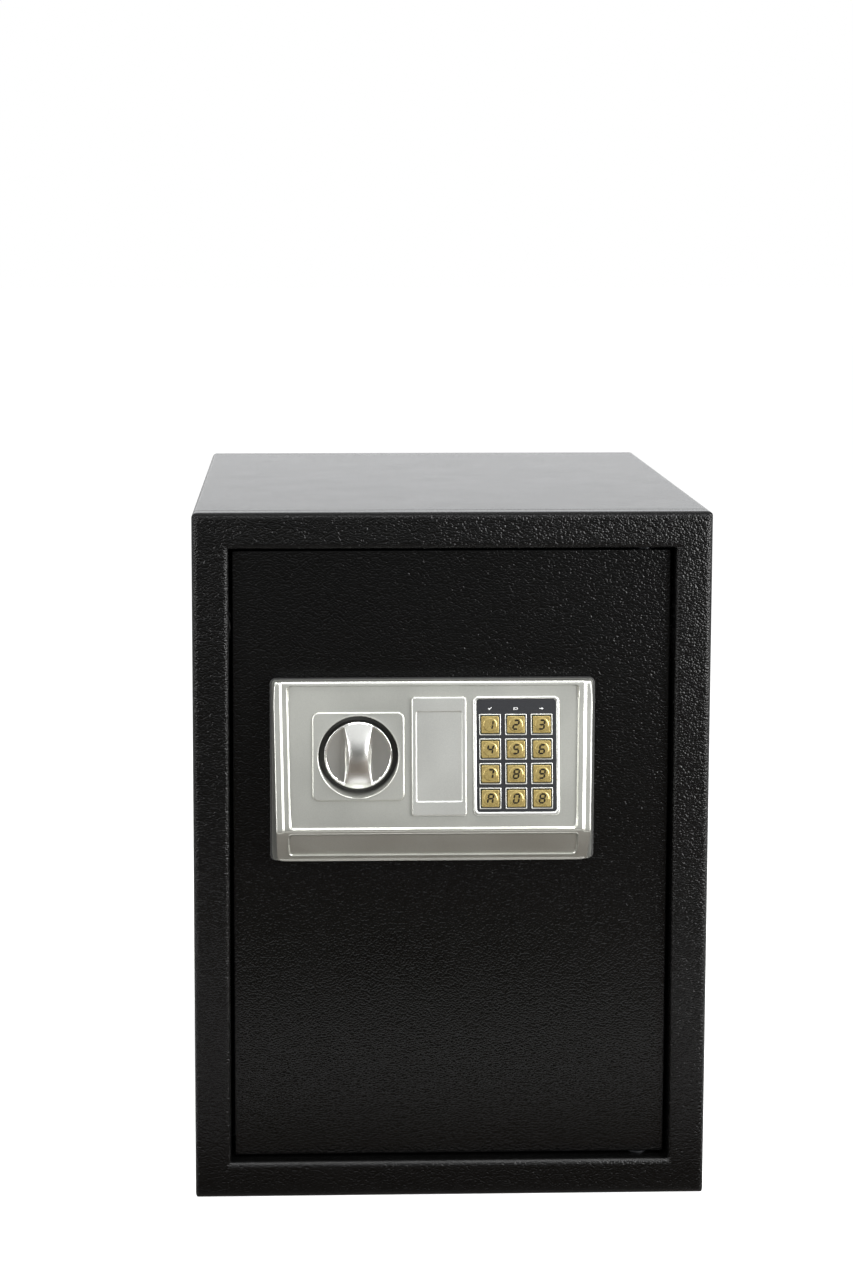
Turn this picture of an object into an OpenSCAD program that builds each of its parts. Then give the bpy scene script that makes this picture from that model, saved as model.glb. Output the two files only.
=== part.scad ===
// Electronic safe: steel cabinet, hinged door with two sliding bolts, and a keypad control panel.
// Millimetres. Z is up, the door faces -Y, and the base stands on z = 0.
// Depths are counted from the plane of the front frame: positive goes into the cabinet.

/* [Cabinet] */
// outer width
cabinet_w = 350; // [330:1:380]
// outer height
cabinet_h = 475; // [455:1:520]
// outer depth, front frame to back edge
cabinet_d = 340; // [300:1:400]
// body sheet thickness
sheet_t = 2; // [1.5:0.1:2.4]
// radius of the outer folded edges
outer_r = 3.5; // [3:0.1:5]
// depth of the back panel inside the back edge
back_inset = 2; // [1:0.5:6]

/* [Front frame] */
// width of the frame around the door opening
border_w = 24.5; // [22:0.5:28]
// radius of the rolled edge round the opening
edge_r = 3; // [2.5:0.1:4]
// depth of the frame's outer skin before the body wrap starts
skin_d = 12; // [8:1:20]
// depth of the jamb behind the frame face
jamb_d = 44; // [42:1:50]

/* [Door] */
// gap between the door and the frame
door_gap = 2.5; // [2:0.1:3.5]
// depth of the door's face behind the frame
door_recess = 9; // [7:0.5:11]
// door plate thickness
door_t = 4; // [3:0.5:5]
// corner radius of the door plate
door_r = 1.5; // [1:0.1:3]

/* [Hinge] */
// radius of the hinge pins
pin_r = 3.5; // [3:0.25:4]
// room left between the frame and the door's corner as it swings past
swing_play = 0.5; // [0.2:0.1:0.8]
// radial play of pins, shafts and bolts in their holes
running_play = 0.06; // [0.03:0.01:0.09]
// height of the welded hinge blocks
hinge_block_h = 30; // [20:1:45]

/* [Control panel] */
// middle of the panel, across the door
panel_x = -13; // [-20:1:0]
// middle of the panel, above the middle of the cabinet
panel_up = 61.2; // [20:1:75]
// panel width
panel_w = 220; // [216:1:232]
// panel height
panel_h = 125; // [122:1:130]
// thickness of the dark base band
band_t = 4; // [3:0.5:5]
// how far the base band shows around the silver shell
band_show = 1.3; // [0.8:0.1:2]
// how far the panel stands off the door along its lower ridge
ridge_out = 24; // [22:0.5:27]
// how far the panel stands off the door at its top edge
crest_out = 10.2; // [9:0.2:12]
// height of the ridge above the panel's lower edge
ridge_up = 26; // [24:0.5:28]
// lean of the side walls, in degrees
side_draft = 8.5; // [5:0.5:12]
// wall of the moulded shell
shell_wall = 2.2; // [1.8:0.1:2.6]
// how far the main face is sunk below its rim
face_sink = 2; // [1.5:0.1:2.5]
// how far the ledges along both sides lie below the rim
ledge_drop = 0.9; // [0.4:0.1:1.2]
// height of the row of controls above the panel's middle
controls_up = 12; // [10:0.5:13]

/* [Knob] */
// knob axis, left of the panel's middle
knob_left = 50.5; // [48:0.5:52]
// knob radius
knob_r = 23; // [21:0.5:24]
// radius of the well around the knob
well_r = 27; // [26:0.5:28]
// how far the knob's front lies behind the rim of the well
knob_sink = 3.5; // [2.5:0.1:5]
// how far the arched grip rises over the knob's rim
grip_rise = 6.3; // [4:0.1:7]
// depth of the finger hollows beside the grip
hollow_depth = 5.2; // [4:0.1:5.4]
// half width of the grip at its waist
grip_waist = 6.6; // [6.2:0.1:7.4]
// half width of the grip at its ends
grip_end = 9.3; // [8.5:0.2:11]
// knob shaft radius
shaft_r = 5; // [4:0.25:5.5]

/* [Keypad] */
// middle of the keys, right of the panel's middle
keys_right = 55.5; // [54:0.5:56.5]
// key spacing across
key_pitch_x = 17.4; // [17:0.1:18]
// key spacing up the face
key_pitch_z = 16.4; // [16:0.1:17]
// key width
key_w = 12; // [10:0.5:12.4]
// key height
key_h = 11.6; // [10:0.5:12]
// key travel
key_travel = 0.6; // [0.3:0.1:0.6]

/* [Override cover] */
// middle of the cover plate, right of the panel's middle
cover_right = 3.8; // [2:0.5:5]
// cover plate width
cover_w = 36.8; // [34:0.5:38]
// cover plate height
cover_h = 79.4; // [74:0.5:82]

/* [Boltwork] */
// bolt travel
bolt_throw = 18; // [15:0.5:19]
// bolt radius
bolt_r = 10; // [8:0.5:10.5]
// each bolt's distance above or below the knob axis
bolt_apart = 60; // [56:1:64]
// how far the solenoid's plunger drops
plunger_drop = 4; // [3:0.5:4.5]

/* [Inner cover] */
// cover depth behind the door plate
box_d = 37; // [36.5:0.5:40]
// cover sheet thickness
box_t = 2; // [1.5:0.1:2.4]

/* [Inside] */
// height of the shelf's top above the base
shelf_z = 238; // [200:1:260]
// depth of the floor mat
mat_t = 3; // [2:0.5:5]

/* [Hidden] */
$fn = 64;

far = 1000;
reach = 40;
seat_play = 0.1;

// Cabinet
inner_w = cabinet_w - 2 * sheet_t;
open_w = cabinet_w - 2 * border_w;
open_h = cabinet_h - 2 * border_w;
open_z = cabinet_h / 2;
back_y = cabinet_d - back_inset - sheet_t;
anchor_r = 6;
base_anchor_x = 200;
base_anchor_y = 180;
base_anchor_depth = 190;
back_anchor_x = 200;
back_anchor_z = 330;
mat_front = jamb_d + 6;
mat_side = 3;
mat_hole_r = 11;

// Door
door_w = open_w - 2 * door_gap;
door_h = open_h - 2 * door_gap;
door_low = open_z - door_h / 2;
door_top = open_z + door_h / 2;
door_back = door_recess + door_t;
cable_r = 9;
cable_drop = 22;

// Hinge
pin_wall = 1;
pivot_y = door_back + pin_r + pin_wall;
// The door's front corner sweeps an arc round the pivot, which has to stay inside the gap
pivot_deep = pivot_y - door_recess;
swing_room = door_gap - swing_play;
hinge_in = (pow(pivot_deep, 2) - pow(swing_room, 2)) / (2 * swing_room);
pivot_x = door_w / 2 - hinge_in;
bush_r = pin_r + 2;
bush_flange_r = bush_r + 1.5;
bush_flange_t = 1;
bush_tail = 4;
washer_r = pin_r + 2;
washer_t = door_gap - bush_flange_t - 2 * seat_play;
block_w = 20;
block_d = 12;
pin_end_low = open_z - open_h / 2 - bush_tail;
pin_end_top = open_z + open_h / 2 + bush_tail;

// Panel shell: its side view is a wedge with a ridge low down
band_y = door_recess - band_t;
panel_z = cabinet_h / 2 + panel_up;
panel_low = panel_z - panel_h / 2;
panel_top = panel_z + panel_h / 2;
shell_w = panel_w - 2 * band_show;
foot_z = panel_low + 0.6;
foot_y = door_recess - 8.5;
foot_lip_z = panel_low + 2;
ridge_y = door_recess - ridge_out;
// The whole part is centred on the origin, front to back, from the panel's ridge to the back edge
front_y = (-ridge_y - cabinet_d) / 2;
ridge_z = panel_low + ridge_up;
crest_y = door_recess - crest_out;
crest_z = panel_top - band_show - 0.6;
lean = atan((crest_y - ridge_y) / (crest_z - ridge_z));
strip_slope = (foot_y - ridge_y) / (ridge_z - foot_lip_z);
strip_angle = atan(strip_slope);
panel_r = 2.7;
controls_z = panel_z + controls_up;

// Distance of a line parallel to the main face, and to the lower strip, in y at a given height
function rim_y(z) = ridge_y + (z - ridge_z) * tan(lean);
function strip_y(z) = ridge_y + (ridge_z - z) * strip_slope;
face_y = rim_y(controls_z) + face_sink / cos(lean);
hollow_shift = (shell_wall + face_sink) / cos(lean);
strip_shift = shell_wall / cos(strip_angle);
hollow_ridge_z = ridge_z + (strip_shift - hollow_shift) / (tan(lean) + strip_slope);
hollow_ridge_y = rim_y(hollow_ridge_z) + hollow_shift;

// Sunk main face and the sunk field in the lower strip
sunk_half = shell_w / 2 - 11.3;
sunk_taper = 1.27;
sunk_low = ridge_z + 1.8;
sunk_top = crest_z - 2;
sunk_r = 2.2;
sunk_h = (sunk_top - sunk_low) / cos(lean);
sunk_middle = (sunk_top + sunk_low) / 2 - controls_z;
rim_half = sunk_half + 3.2;
ledge_slope = 2.4;
strip_field_w = 195;
strip_field_h = 20.5;
strip_field_sink = 0.8;
strip_field_r = 3;

// Knob, its well and its raised plate
knob_x = panel_x - knob_left;
knob_plate_w = 62;
knob_plate_h = 59.4;
knob_plate_r = 4.7;
knob_plate_out = 1.4;
well_floor = band_y - 1.5;
well_wall = 2;
knob_front = face_y - knob_plate_out + knob_sink;
knob_rear = well_floor - 0.4;
knob_rim_w = 1.2;
hollow_x = 8;
hollow_r = 26;
scoop_r = (pow(knob_r - 3, 2) + pow(grip_end - grip_waist, 2)) / (2 * (grip_end - grip_waist));
arch_r = (pow(knob_r, 2) + pow(grip_rise, 2)) / (2 * grip_rise);
crest_r = (pow(grip_end, 2) + pow(grip_rise, 2)) / (2 * grip_rise);
shaft_in = 1;

// Keypad, in the plane of the main face: across, up and out
keys_x = panel_x + keys_right;
top_row_up = 21;
key_row_up = [for (row = [0:3]) top_row_up - row * key_pitch_z];
bezel_w = 58.2;
bezel_h = 79.8;
bezel_r = 3.4;
bezel_out = 1.4;
bezel_shift = 0.4;
overlay_up = 0.4;
overlay_w = 53.2;
overlay_h = 75;
overlay_r = 2;
overlay_sink = 0.6;
overlay_out = 0.9;
window_low = -36;
window_top = 35.5;
window_w = 49.4;
surround_gap = 0.3;
surround_wall = 1;
surround_out = 0.8;
key_out = 2.6;
key_skirt = 0.7;
key_skirt_t = 0.8;
key_flange_in = overlay_sink + 0.05;
board_in = key_flange_in + key_skirt_t + key_travel + 0.2;
board_t = 1.6;
board_w = 53;
board_h = 74;
dome_contact_h = 0.15;
light_r = 1.5;
light_up = 32;

// Override cover plate and the lock behind it
cover_x = panel_x + cover_right;
cover_out = 2.2;
cover_field_w = 30.5;
cover_field_h = 59.8;
cover_field_sink = 0.6;
clip_w = 8;
clip_t = 1.5;
clip_in = 5;
clip_up = 32;
barrel_r = 9.4;
barrel_head_r = 11;
barrel_front = -3.5;
barrel_end = door_back + 12.3;
plug_r = 5.5;
nut_flats = 24;
lock_nut_t = 4;
cam_y = barrel_end + 0.5;
cam_t = 2.5;
cam_len = 30;
cam_w = 7;

// Boltwork, behind the door plate
crank_y = door_back + 1.4;
crank_t = 3;
crank_r = bolt_throw / 2 / sin(45);
crank_pin_r = 3;
slot_play = 0.5;
carriage_y = door_back + 6;
carriage_t = 2.5;
bolt_y = door_back + 15.2;
bolt_end_x = -door_w / 2 + 2;
flange_x = knob_x - 32.5;
spine_w = 34;
stud_r = 4;
bolt_nut_t = 6.5;
bolt_nut_flats = 13;
guide_x = -door_w / 2 + 6;
guide_w = 14;
guide_h = 30;
guide_d = 28;
post_x = flange_x + 9;
post_up = 42;
post_r = 4;
post_head_r = 6.5;
plunger_x = cover_x - 26.8;
plunger_y = door_back + 8.5;
plunger_r = 4;
plunger_low = controls_z + 19.4;
plunger_len = 38;
collar_z = plunger_low + 6;
collar_t = 2;
collar_r = 7;
coil_low = plunger_low + 13;
coil_h = 32;
coil_r = 6.9;
coil_plate = 1.5;
tab_w = 7;
tab_gap = 1;
spring_wire = 0.9;
spring_turns = 3;
spring_steps = 10;

// Inner cover, battery compartment and reset button
box_left = -door_w / 2 + 24;
box_right = 98;
box_below = 114.6;
box_top_in = 23.9;
box_low = controls_z - box_below;
box_top = door_top - box_top_in;
box_back = door_back + box_d;
box_r = 4;
box_lip = 12;
box_screw_x = [-90, 0, 76];
cell_r = 7.25;
cell_len = 50.5;
cell_pitch = 15.8;
battery_x = 51;
battery_z = controls_z - 52.6;
battery_w = 66;
battery_h = 70;
battery_d = 17.5;
battery_wall = 1.5;
lid_w = 74;
lid_h = 78;
lid_t = 2;
lid_travel = 66;
rail_t = 1.4;
rail_over = 2;
reset_x = 60;
reset_z = controls_z + 29.4;
reset_r = 3.8;
reset_travel = 1.5;

// Shelf
shelf_front = 75;
shelf_t = 1.5;
shelf_lip = 12;
ledge_w = 15;
ledge_h = 14;

// Colours: paint, dark plastic, silver plastic, steel, gold and so on
paint_c = [0.1, 0.1, 0.1];
band_c = [0.3, 0.3, 0.3];
silver_c = [0.68, 0.68, 0.65];
steel_c = [0.62, 0.63, 0.65];
gold_c = [0.79, 0.71, 0.42];
dark_c = [0.08, 0.09, 0.12];
board_c = [0.1, 0.35, 0.2];
copper_c = [0.7, 0.4, 0.2];
felt_c = [0.2, 0.2, 0.22];

// Rounded outline that widens upwards: its sides stand `taper` degrees off upright, and w is its width half way up
module flaring(w, h, r, taper) {
  low = w / 2 - r - (h / 2 - r) * tan(taper);
  top = w / 2 - r + (h / 2 - r) * tan(taper);
  side = [r * cos(taper), -r * sin(taper)];
  polygon([
    [-low, -h / 2], [low, -h / 2], [low + side[0], -h / 2 + r + side[1]], [top + side[0], h / 2 - r + side[1]],
    [top, h / 2], [-top, h / 2], [-top - side[0], h / 2 - r + side[1]], [-low - side[0], -h / 2 + r + side[1]]
  ]);
  for (s = [-1, 1]) {
    translate([s * low, -h / 2 + r]) circle(r = r);
    translate([s * top, h / 2 - r]) circle(r = r);
  }
}

// Puts a piece into the row frame
module in_frame() {
  translate([0, front_y, 0]) children();
}

// Pushes an outline drawn in x and z from depth y0 to y1
module along_y(y0, y1) {
  translate([0, y1, 0]) rotate([90, 0, 0]) linear_extrude(y1 - y0) children();
}

// Pushes an outline drawn in y and z from x0 to x1
module along_x(x0, x1) {
  translate([x0, 0, 0]) rotate([90, 0, 90]) linear_extrude(x1 - x0) children();
}

module rod_x(y, z, r, x0, x1) {
  translate([x0, y, z]) rotate([0, 90, 0]) cylinder(h = x1 - x0, r = r);
}

module rod_y(x, z, r, y0, y1) {
  translate([x, y1, z]) rotate([90, 0, 0]) cylinder(h = y1 - y0, r = r);
}

module rod_z(x, y, r, z0, z1) {
  translate([x, y, z0]) cylinder(h = z1 - z0, r = r);
}

// A box given by its limits
module block(x0, x1, y0, y1, z0, z1) {
  translate([x0, y0, z0]) cube([x1 - x0, y1 - y0, z1 - z0]);
}

module rounded(w, h, r) {
  square([w - 2 * r, h], center = true);
  square([w, h - 2 * r], center = true);
  for (sx = [-1, 1], sy = [-1, 1])
    translate([sx * (w / 2 - r), sy * (h / 2 - r)]) circle(r = r);
}

// Stands a child on the sunk main face: x across the door, z up the face, -y out of it
module on_face(x) {
  translate([x, face_y, controls_z]) rotate([-lean, 0, 0]) children();
}

// Cabinet: outline of the outside, with its long edges rounded
module outside_outline(inset, r) {
  translate([0, open_z]) rounded(cabinet_w - 2 * inset, cabinet_h - 2 * inset, r);
}

module body_wrap() color(paint_c) in_frame() difference() {
  along_y(skin_d, cabinet_d) outside_outline(0, outer_r);
  along_y(skin_d - 1, cabinet_d + 1) outside_outline(sheet_t, outer_r - sheet_t);
  for (sx = [-1, 1], sy = [-1, 1])
    rod_z(sx * base_anchor_x / 2, base_anchor_depth + sy * base_anchor_y / 2, anchor_r, -1, sheet_t + 1);
}

// Outline in depth and width with both front corners rounded
module front_rounded(depth, width, r) {
  translate([r, -width / 2]) square([depth - r, width]);
  translate([0, -width / 2 + r]) square([depth, width - 2 * r]);
  for (s = [-1, 1])
    translate([r, s * (width / 2 - r)]) circle(r = r);
}

// Outline of the opening in depth and width: it flares where the frame's edge is rolled
module flared(depth, width, r) {
  translate([-1, -width / 2]) square([depth + 1, width]);
  for (s = [-1, 1]) difference() {
    translate([-1, s * (width / 2 + r / 2) - r / 2]) square([1 + r, r]);
    translate([r, s * (width / 2 + r)]) circle(r = r);
  }
}

module opening_tool() {
  intersection() {
    along_x(-far, far) translate([0, open_z]) flared(jamb_d + 1, open_h, edge_r);
    rotate([0, 0, 90]) mirror([0, 1, 0]) translate([0, 0, -1]) linear_extrude(far)
      flared(jamb_d + 1, open_w, edge_r);
  }
}

module front_frame() color(paint_c) in_frame() difference() {
  intersection() {
    union() {
      difference() {
        along_y(0, skin_d) outside_outline(0, outer_r);
        along_y(sheet_t, skin_d + 1) outside_outline(sheet_t, outer_r - sheet_t);
      }
      along_y(0, jamb_d) translate([0, open_z]) square([open_w + 2 * sheet_t, open_h + 2 * sheet_t], center = true);
    }
    along_x(-far, far) translate([0, open_z]) front_rounded(far, cabinet_h, outer_r);
    rotate([0, 0, 90]) mirror([0, 1, 0]) translate([0, 0, -1]) linear_extrude(far)
      front_rounded(far, cabinet_w, outer_r);
  }
  opening_tool();
  for (s = [-1, 1])
    rod_x(bolt_y, controls_z + s * bolt_apart, bolt_r + 1, -open_w / 2 - sheet_t - 1, -open_w / 2 + 1);
  for (z = [pin_end_low, open_z + open_h / 2 - 1])
    rod_z(pivot_x, pivot_y, bush_r, z, z + bush_tail + 1);
}

module back_panel() color(paint_c) in_frame() difference() {
  along_y(back_y, back_y + sheet_t) outside_outline(sheet_t, outer_r - sheet_t);
  for (s = [-1, 1])
    rod_y(s * back_anchor_x / 2, back_anchor_z, anchor_r, back_y - 1, back_y + sheet_t + 1);
}

module hinge_bushes() color(steel_c) in_frame() {
  for (s = [-1, 1]) difference() {
    translate([pivot_x, pivot_y, open_z + s * open_h / 2]) rotate([s > 0 ? 180 : 0, 0, 0]) union() {
      cylinder(h = bush_flange_t, r = bush_flange_r);
      translate([0, 0, -bush_tail]) cylinder(h = bush_tail + bush_flange_t, r = bush_r);
    }
    rod_z(pivot_x, pivot_y, pin_r + running_play, -1, cabinet_h + 1);
  }
}

// Two folded angles that carry the shelf
module shelf_ledges() color(paint_c) in_frame() {
  for (s = [-1, 1]) {
    wall_x = s * inner_w / 2;
    leg_x = s * (inner_w / 2 - sheet_t);
    tip_x = s * (inner_w / 2 - ledge_w);
    block(min(wall_x, leg_x), max(wall_x, leg_x), shelf_front + 6, back_y, shelf_z - shelf_t - ledge_h, shelf_z - shelf_t);
    block(min(wall_x, tip_x), max(wall_x, tip_x), shelf_front + 6, back_y, shelf_z - shelf_t - sheet_t, shelf_z - shelf_t);
  }
}

module shelf() color(paint_c) in_frame() {
  half = inner_w / 2 - 1;
  block(-half, half, shelf_front, back_y - 6, shelf_z - shelf_t, shelf_z);
  block(-half, half, shelf_front, shelf_front + shelf_t, shelf_z - shelf_lip, shelf_z);
}

module floor_mat() color(felt_c) in_frame() difference() {
  block(-inner_w / 2 + mat_side, inner_w / 2 - mat_side, mat_front, back_y - mat_side, sheet_t, sheet_t + mat_t);
  for (sx = [-1, 1], sy = [-1, 1])
    rod_z(sx * base_anchor_x / 2, base_anchor_depth + sy * base_anchor_y / 2, mat_hole_r, 0, sheet_t + mat_t + 1);
}

// Door
screw_side = 97;
screw_x = [panel_x - screw_side, panel_x + screw_side];
screw_z = [panel_low + 14, panel_top - 9.5];
screw_r = 2;
screw_tip = door_back - 10.5;

module door_panel() color(paint_c) in_frame() difference() {
  along_y(door_recess, door_back) translate([0, open_z]) rounded(door_w, door_h, door_r);
  rod_y(knob_x, controls_z, shaft_r + 3, door_recess - 1, door_back + 1);
  rod_y(cover_x, controls_z, barrel_r + seat_play, door_recess - 1, door_back + 1);
  rod_y(keys_x, controls_z - cable_drop, cable_r, door_recess - 1, door_back + 1);
  for (x = screw_x, z = screw_z)
    rod_y(x, z, screw_r + seat_play, door_recess - 1, door_back + 1);
  for (x = box_screw_x, z = [box_low - box_lip / 2, box_top + box_lip / 2])
    rod_y(x, z, screw_r, door_back - 3, door_back + 1);
}

module hinge_blocks() color(steel_c) in_frame() difference() {
  for (z = [door_low, door_top - hinge_block_h])
    block(pivot_x - block_w / 2, pivot_x + block_w / 2, door_back, door_back + block_d, z, z + hinge_block_h);
  rod_z(pivot_x, pivot_y, pin_r, 0, cabinet_h);
}

module hinge_pins() color(steel_c) in_frame() {
  rod_z(pivot_x, pivot_y, pin_r, pin_end_low, door_low + hinge_block_h);
  rod_z(pivot_x, pivot_y, pin_r, door_top - hinge_block_h, pin_end_top);
  for (z = [door_low - seat_play - washer_t, door_top + seat_play])
    rod_z(pivot_x, pivot_y, washer_r, z, z + washer_t);
}

module panel_band() color(band_c) in_frame() difference() {
  along_y(band_y, door_recess) translate([panel_x, panel_z]) rounded(panel_w, panel_h, panel_r + 1);
  rod_y(knob_x, controls_z, shaft_r + 3, band_y - 1, door_recess + 1);
  rod_y(cover_x, controls_z, barrel_r + seat_play, band_y - 1, door_recess + 1);
  rod_y(keys_x, controls_z - cable_drop, cable_r, band_y - 1, door_recess + 1);
  for (x = screw_x, z = screw_z)
    rod_y(x, z, screw_r + seat_play, band_y - 1, door_recess + 1);
}

// Wedge between two outlines in depth and height, with its side walls leaning in
module wedge(outline, width) {
  difference() {
    along_x(panel_x - width / 2, panel_x + width / 2) polygon(outline);
    for (s = [0, 1]) translate([panel_x, 0, 0]) mirror([s, 0, 0])
      translate([width / 2, band_y, 0]) rotate([0, 0, -side_draft])
        translate([0, -far / 2, 0]) cube([far, far, far]);
  }
}

outer_outline = [
  [band_y, foot_z], [foot_y, foot_lip_z], [ridge_y + 0.5, ridge_z - 0.8], [ridge_y, ridge_z + 0.4],
  [crest_y - 0.2, crest_z - 1.2], [crest_y + 0.8, crest_z], [band_y, panel_top - band_show]
];
hollow_outline = [
  [band_y + 1, foot_z + shell_wall], [foot_y + strip_shift, foot_lip_z], [hollow_ridge_y, hollow_ridge_z],
  [rim_y(crest_z - shell_wall) + hollow_shift, crest_z - shell_wall], [band_y + 1, crest_z - shell_wall]
];

module fascia() color(silver_c) in_frame() difference() {
  union() {
    difference() {
      intersection() {
        wedge(outer_outline, shell_w);
        along_y(-reach, band_y) translate([panel_x, (foot_z + panel_top - band_show) / 2])
          rounded(shell_w, panel_top - band_show - foot_z, panel_r);
      }
      wedge(hollow_outline, shell_w - 2 * shell_wall);
    }
    // well wall and screw bosses, kept inside the shell
    intersection() {
      union() {
        rod_y(knob_x, controls_z, well_r + well_wall, ridge_y, band_y);
        for (x = screw_x, z = screw_z)
          rod_y(x, z, screw_r + 2.5, ridge_y, band_y);
      }
      wedge(outer_outline, shell_w);
    }
    on_face(knob_x) along_y(-knob_plate_out, shell_wall) rounded(knob_plate_w, knob_plate_h, knob_plate_r);
    on_face(keys_x) along_y(-bezel_out, shell_wall) translate([bezel_shift, 0]) rounded(bezel_w, bezel_h, bezel_r);
  }
  // sunk main face, left clear of the raised plate and the bezel
  difference() {
    on_face(panel_x) along_y(-reach, 0) translate([0, sunk_middle]) flaring(2 * sunk_half, sunk_h, sunk_r, sunk_taper);
    on_face(knob_x) along_y(-knob_plate_out, 1) rounded(knob_plate_w, knob_plate_h, knob_plate_r);
    on_face(keys_x) along_y(-bezel_out, 1) translate([bezel_shift, 0]) rounded(bezel_w, bezel_h, bezel_r);
  }
  // ledges outside the rim, one step lower
  for (s = [0, 1]) on_face(panel_x) mirror([s, 0, 0]) rotate([0, sunk_taper, 0]) translate([rim_half, -face_sink, -panel_h])
    linear_extrude(2 * panel_h)
      polygon([[0, 0], [ledge_slope, ledge_drop], [reach, ledge_drop], [reach, -reach], [0, -reach]]);
  rod_y(knob_x, controls_z, well_r, ridge_y - 5, well_floor);
  rod_y(knob_x, controls_z, shaft_r + 0.5, well_floor - 1, band_y + 1);
  // keypad: pocket for the overlay and the window behind it
  on_face(keys_x) along_y(-bezel_out - 1, overlay_sink) translate([bezel_shift, overlay_up])
    rounded(overlay_w + 2 * seat_play, overlay_h + 2 * seat_play, overlay_r);
  on_face(keys_x) along_y(-1, reach) translate([-window_w / 2, window_low]) square([window_w, window_top - window_low]);
  // override lock and the cover's clips
  rod_y(cover_x, controls_z, barrel_head_r + 0.6, -reach, band_y + 1);
  on_face(cover_x) for (s = [-1, 1])
    along_y(-1, shell_wall + 1) translate([0, s * clip_up]) square([clip_w + 1, clip_t + 0.6], center = true);
  // sunk field in the lower strip
  translate([panel_x, strip_y((ridge_z + foot_lip_z) / 2), (ridge_z + foot_lip_z) / 2]) rotate([strip_angle, 0, 0])
    along_y(-5, strip_field_sink) rounded(strip_field_w, strip_field_h, strip_field_r);
  for (x = screw_x, z = screw_z)
    rod_y(x, z, screw_r, screw_tip, band_y + 1);
}

module fascia_screws() color(steel_c) in_frame() {
  for (x = screw_x, z = screw_z) {
    rod_y(x, z, screw_r, screw_tip, door_back);
    rod_y(x, z, screw_r * 1.9, door_back, door_back + 2.2);
  }
}

// One key place, counted across from the left and down from the top
module at_key(column, row) {
  on_face(keys_x + (column - 1) * key_pitch_x) translate([0, 0, key_row_up[row]]) children();
}

module keypad_overlay() color(dark_c) in_frame() difference() {
  on_face(keys_x) along_y(-overlay_out, overlay_sink) translate([bezel_shift, overlay_up]) rounded(overlay_w, overlay_h, overlay_r);
  for (column = [0:2], row = [0:3])
    at_key(column, row) along_y(-overlay_out - 1, overlay_sink + 1)
      square([key_w + 2 * surround_gap, key_h + 2 * surround_gap], center = true);
}

module key_surrounds() color(silver_c) in_frame() {
  for (column = [0:2], row = [0:3])
    at_key(column, row) along_y(-overlay_out - surround_out, -overlay_out) difference() {
      square([key_w + 2 * surround_gap + 2 * surround_wall, key_h + 2 * surround_gap + 2 * surround_wall], center = true);
      square([key_w + 2 * surround_gap, key_h + 2 * surround_gap], center = true);
    }
}

module indicator_lights() color([0.6, 0.1, 0.1]) in_frame() {
  for (column = [-1, 0, 1])
    on_face(keys_x + column * key_pitch_x) rotate([90, 0, 0]) translate([0, light_up, -board_in])
      cylinder(h = board_in - overlay_sink - 0.1, r = light_r);
}

module keypad_board() color(board_c) in_frame() {
  on_face(keys_x) along_y(board_in, board_in + board_t) square([board_w, board_h], center = true);
  for (column = [0:2], row = [0:3])
    at_key(column, row) along_y(board_in - dome_contact_h, board_in + board_t / 2) circle(r = 3);
}

module key_cap(column, row) {
  color(gold_c) in_frame() at_key(column, row) {
    along_y(-key_out + 0.5, key_flange_in) square([key_w, key_h], center = true);
    along_y(-key_out, -key_out + 0.5) square([key_w - 0.8, key_h - 0.8], center = true);
    along_y(-key_out - 0.3, -key_out) circle(r = 4.8);
    along_y(key_flange_in, key_flange_in + key_skirt_t)
      square([key_w + 2 * key_skirt, key_h + 2 * key_skirt], center = true);
  }
}

module key_1() key_cap(0, 0);
module key_2() key_cap(1, 0);
module key_3() key_cap(2, 0);
module key_4() key_cap(0, 1);
module key_5() key_cap(1, 1);
module key_6() key_cap(2, 1);
module key_7() key_cap(0, 2);
module key_8() key_cap(1, 2);
module key_9() key_cap(2, 2);
module key_a() key_cap(0, 3);
module key_0() key_cap(1, 3);
module key_b() key_cap(2, 3);

// Override lock
module override_cover() color(silver_c) in_frame() on_face(cover_x) {
  difference() {
    along_y(-cover_out, 0) rounded(cover_w, cover_h, 2);
    along_y(-cover_out - 1, -cover_out + cover_field_sink) rounded(cover_field_w, cover_field_h, 0.8);
  }
  for (s = [-1, 1])
    along_y(0, clip_in) translate([0, s * clip_up]) square([clip_w, clip_t], center = true);
}

module lock_barrel() color(steel_c) in_frame() difference() {
  union() {
    rod_y(cover_x, controls_z, barrel_head_r, barrel_front, band_y);
    rod_y(cover_x, controls_z, barrel_r, barrel_front, barrel_end);
  }
  rod_y(cover_x, controls_z, plug_r + running_play, barrel_front - 1, barrel_end + 1);
}

module lock_plug() color(steel_c) in_frame() difference() {
  union() {
    rod_y(cover_x, controls_z, plug_r, barrel_front, cam_y);
    rod_y(cover_x, controls_z, 4, cam_y, cam_y + cam_t + 1);
  }
  block(cover_x - 0.8, cover_x + 0.8, barrel_front - 1, barrel_front + 8, controls_z - 3.6, controls_z + 3.6);
}

module lock_nut() color(steel_c) in_frame() difference() {
  along_y(door_back, door_back + lock_nut_t) translate([cover_x, controls_z]) circle(r = nut_flats / 2 / cos(30), $fn = 6);
  rod_y(cover_x, controls_z, barrel_r, door_back - 1, door_back + lock_nut_t + 1);
}

// At rest the cam points down and to the left; a quarter turn carries it under the plunger's collar
module lock_cam() color(steel_c) in_frame() along_y(cam_y, cam_y + cam_t) translate([cover_x, controls_z]) difference() {
  union() {
    circle(r = 8);
    rotate(225) translate([0, -cam_w / 2]) square([cam_len, cam_w]);
    rotate(225) translate([cam_len, 0]) circle(r = cam_w / 2);
  }
  circle(r = 4);
}

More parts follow.
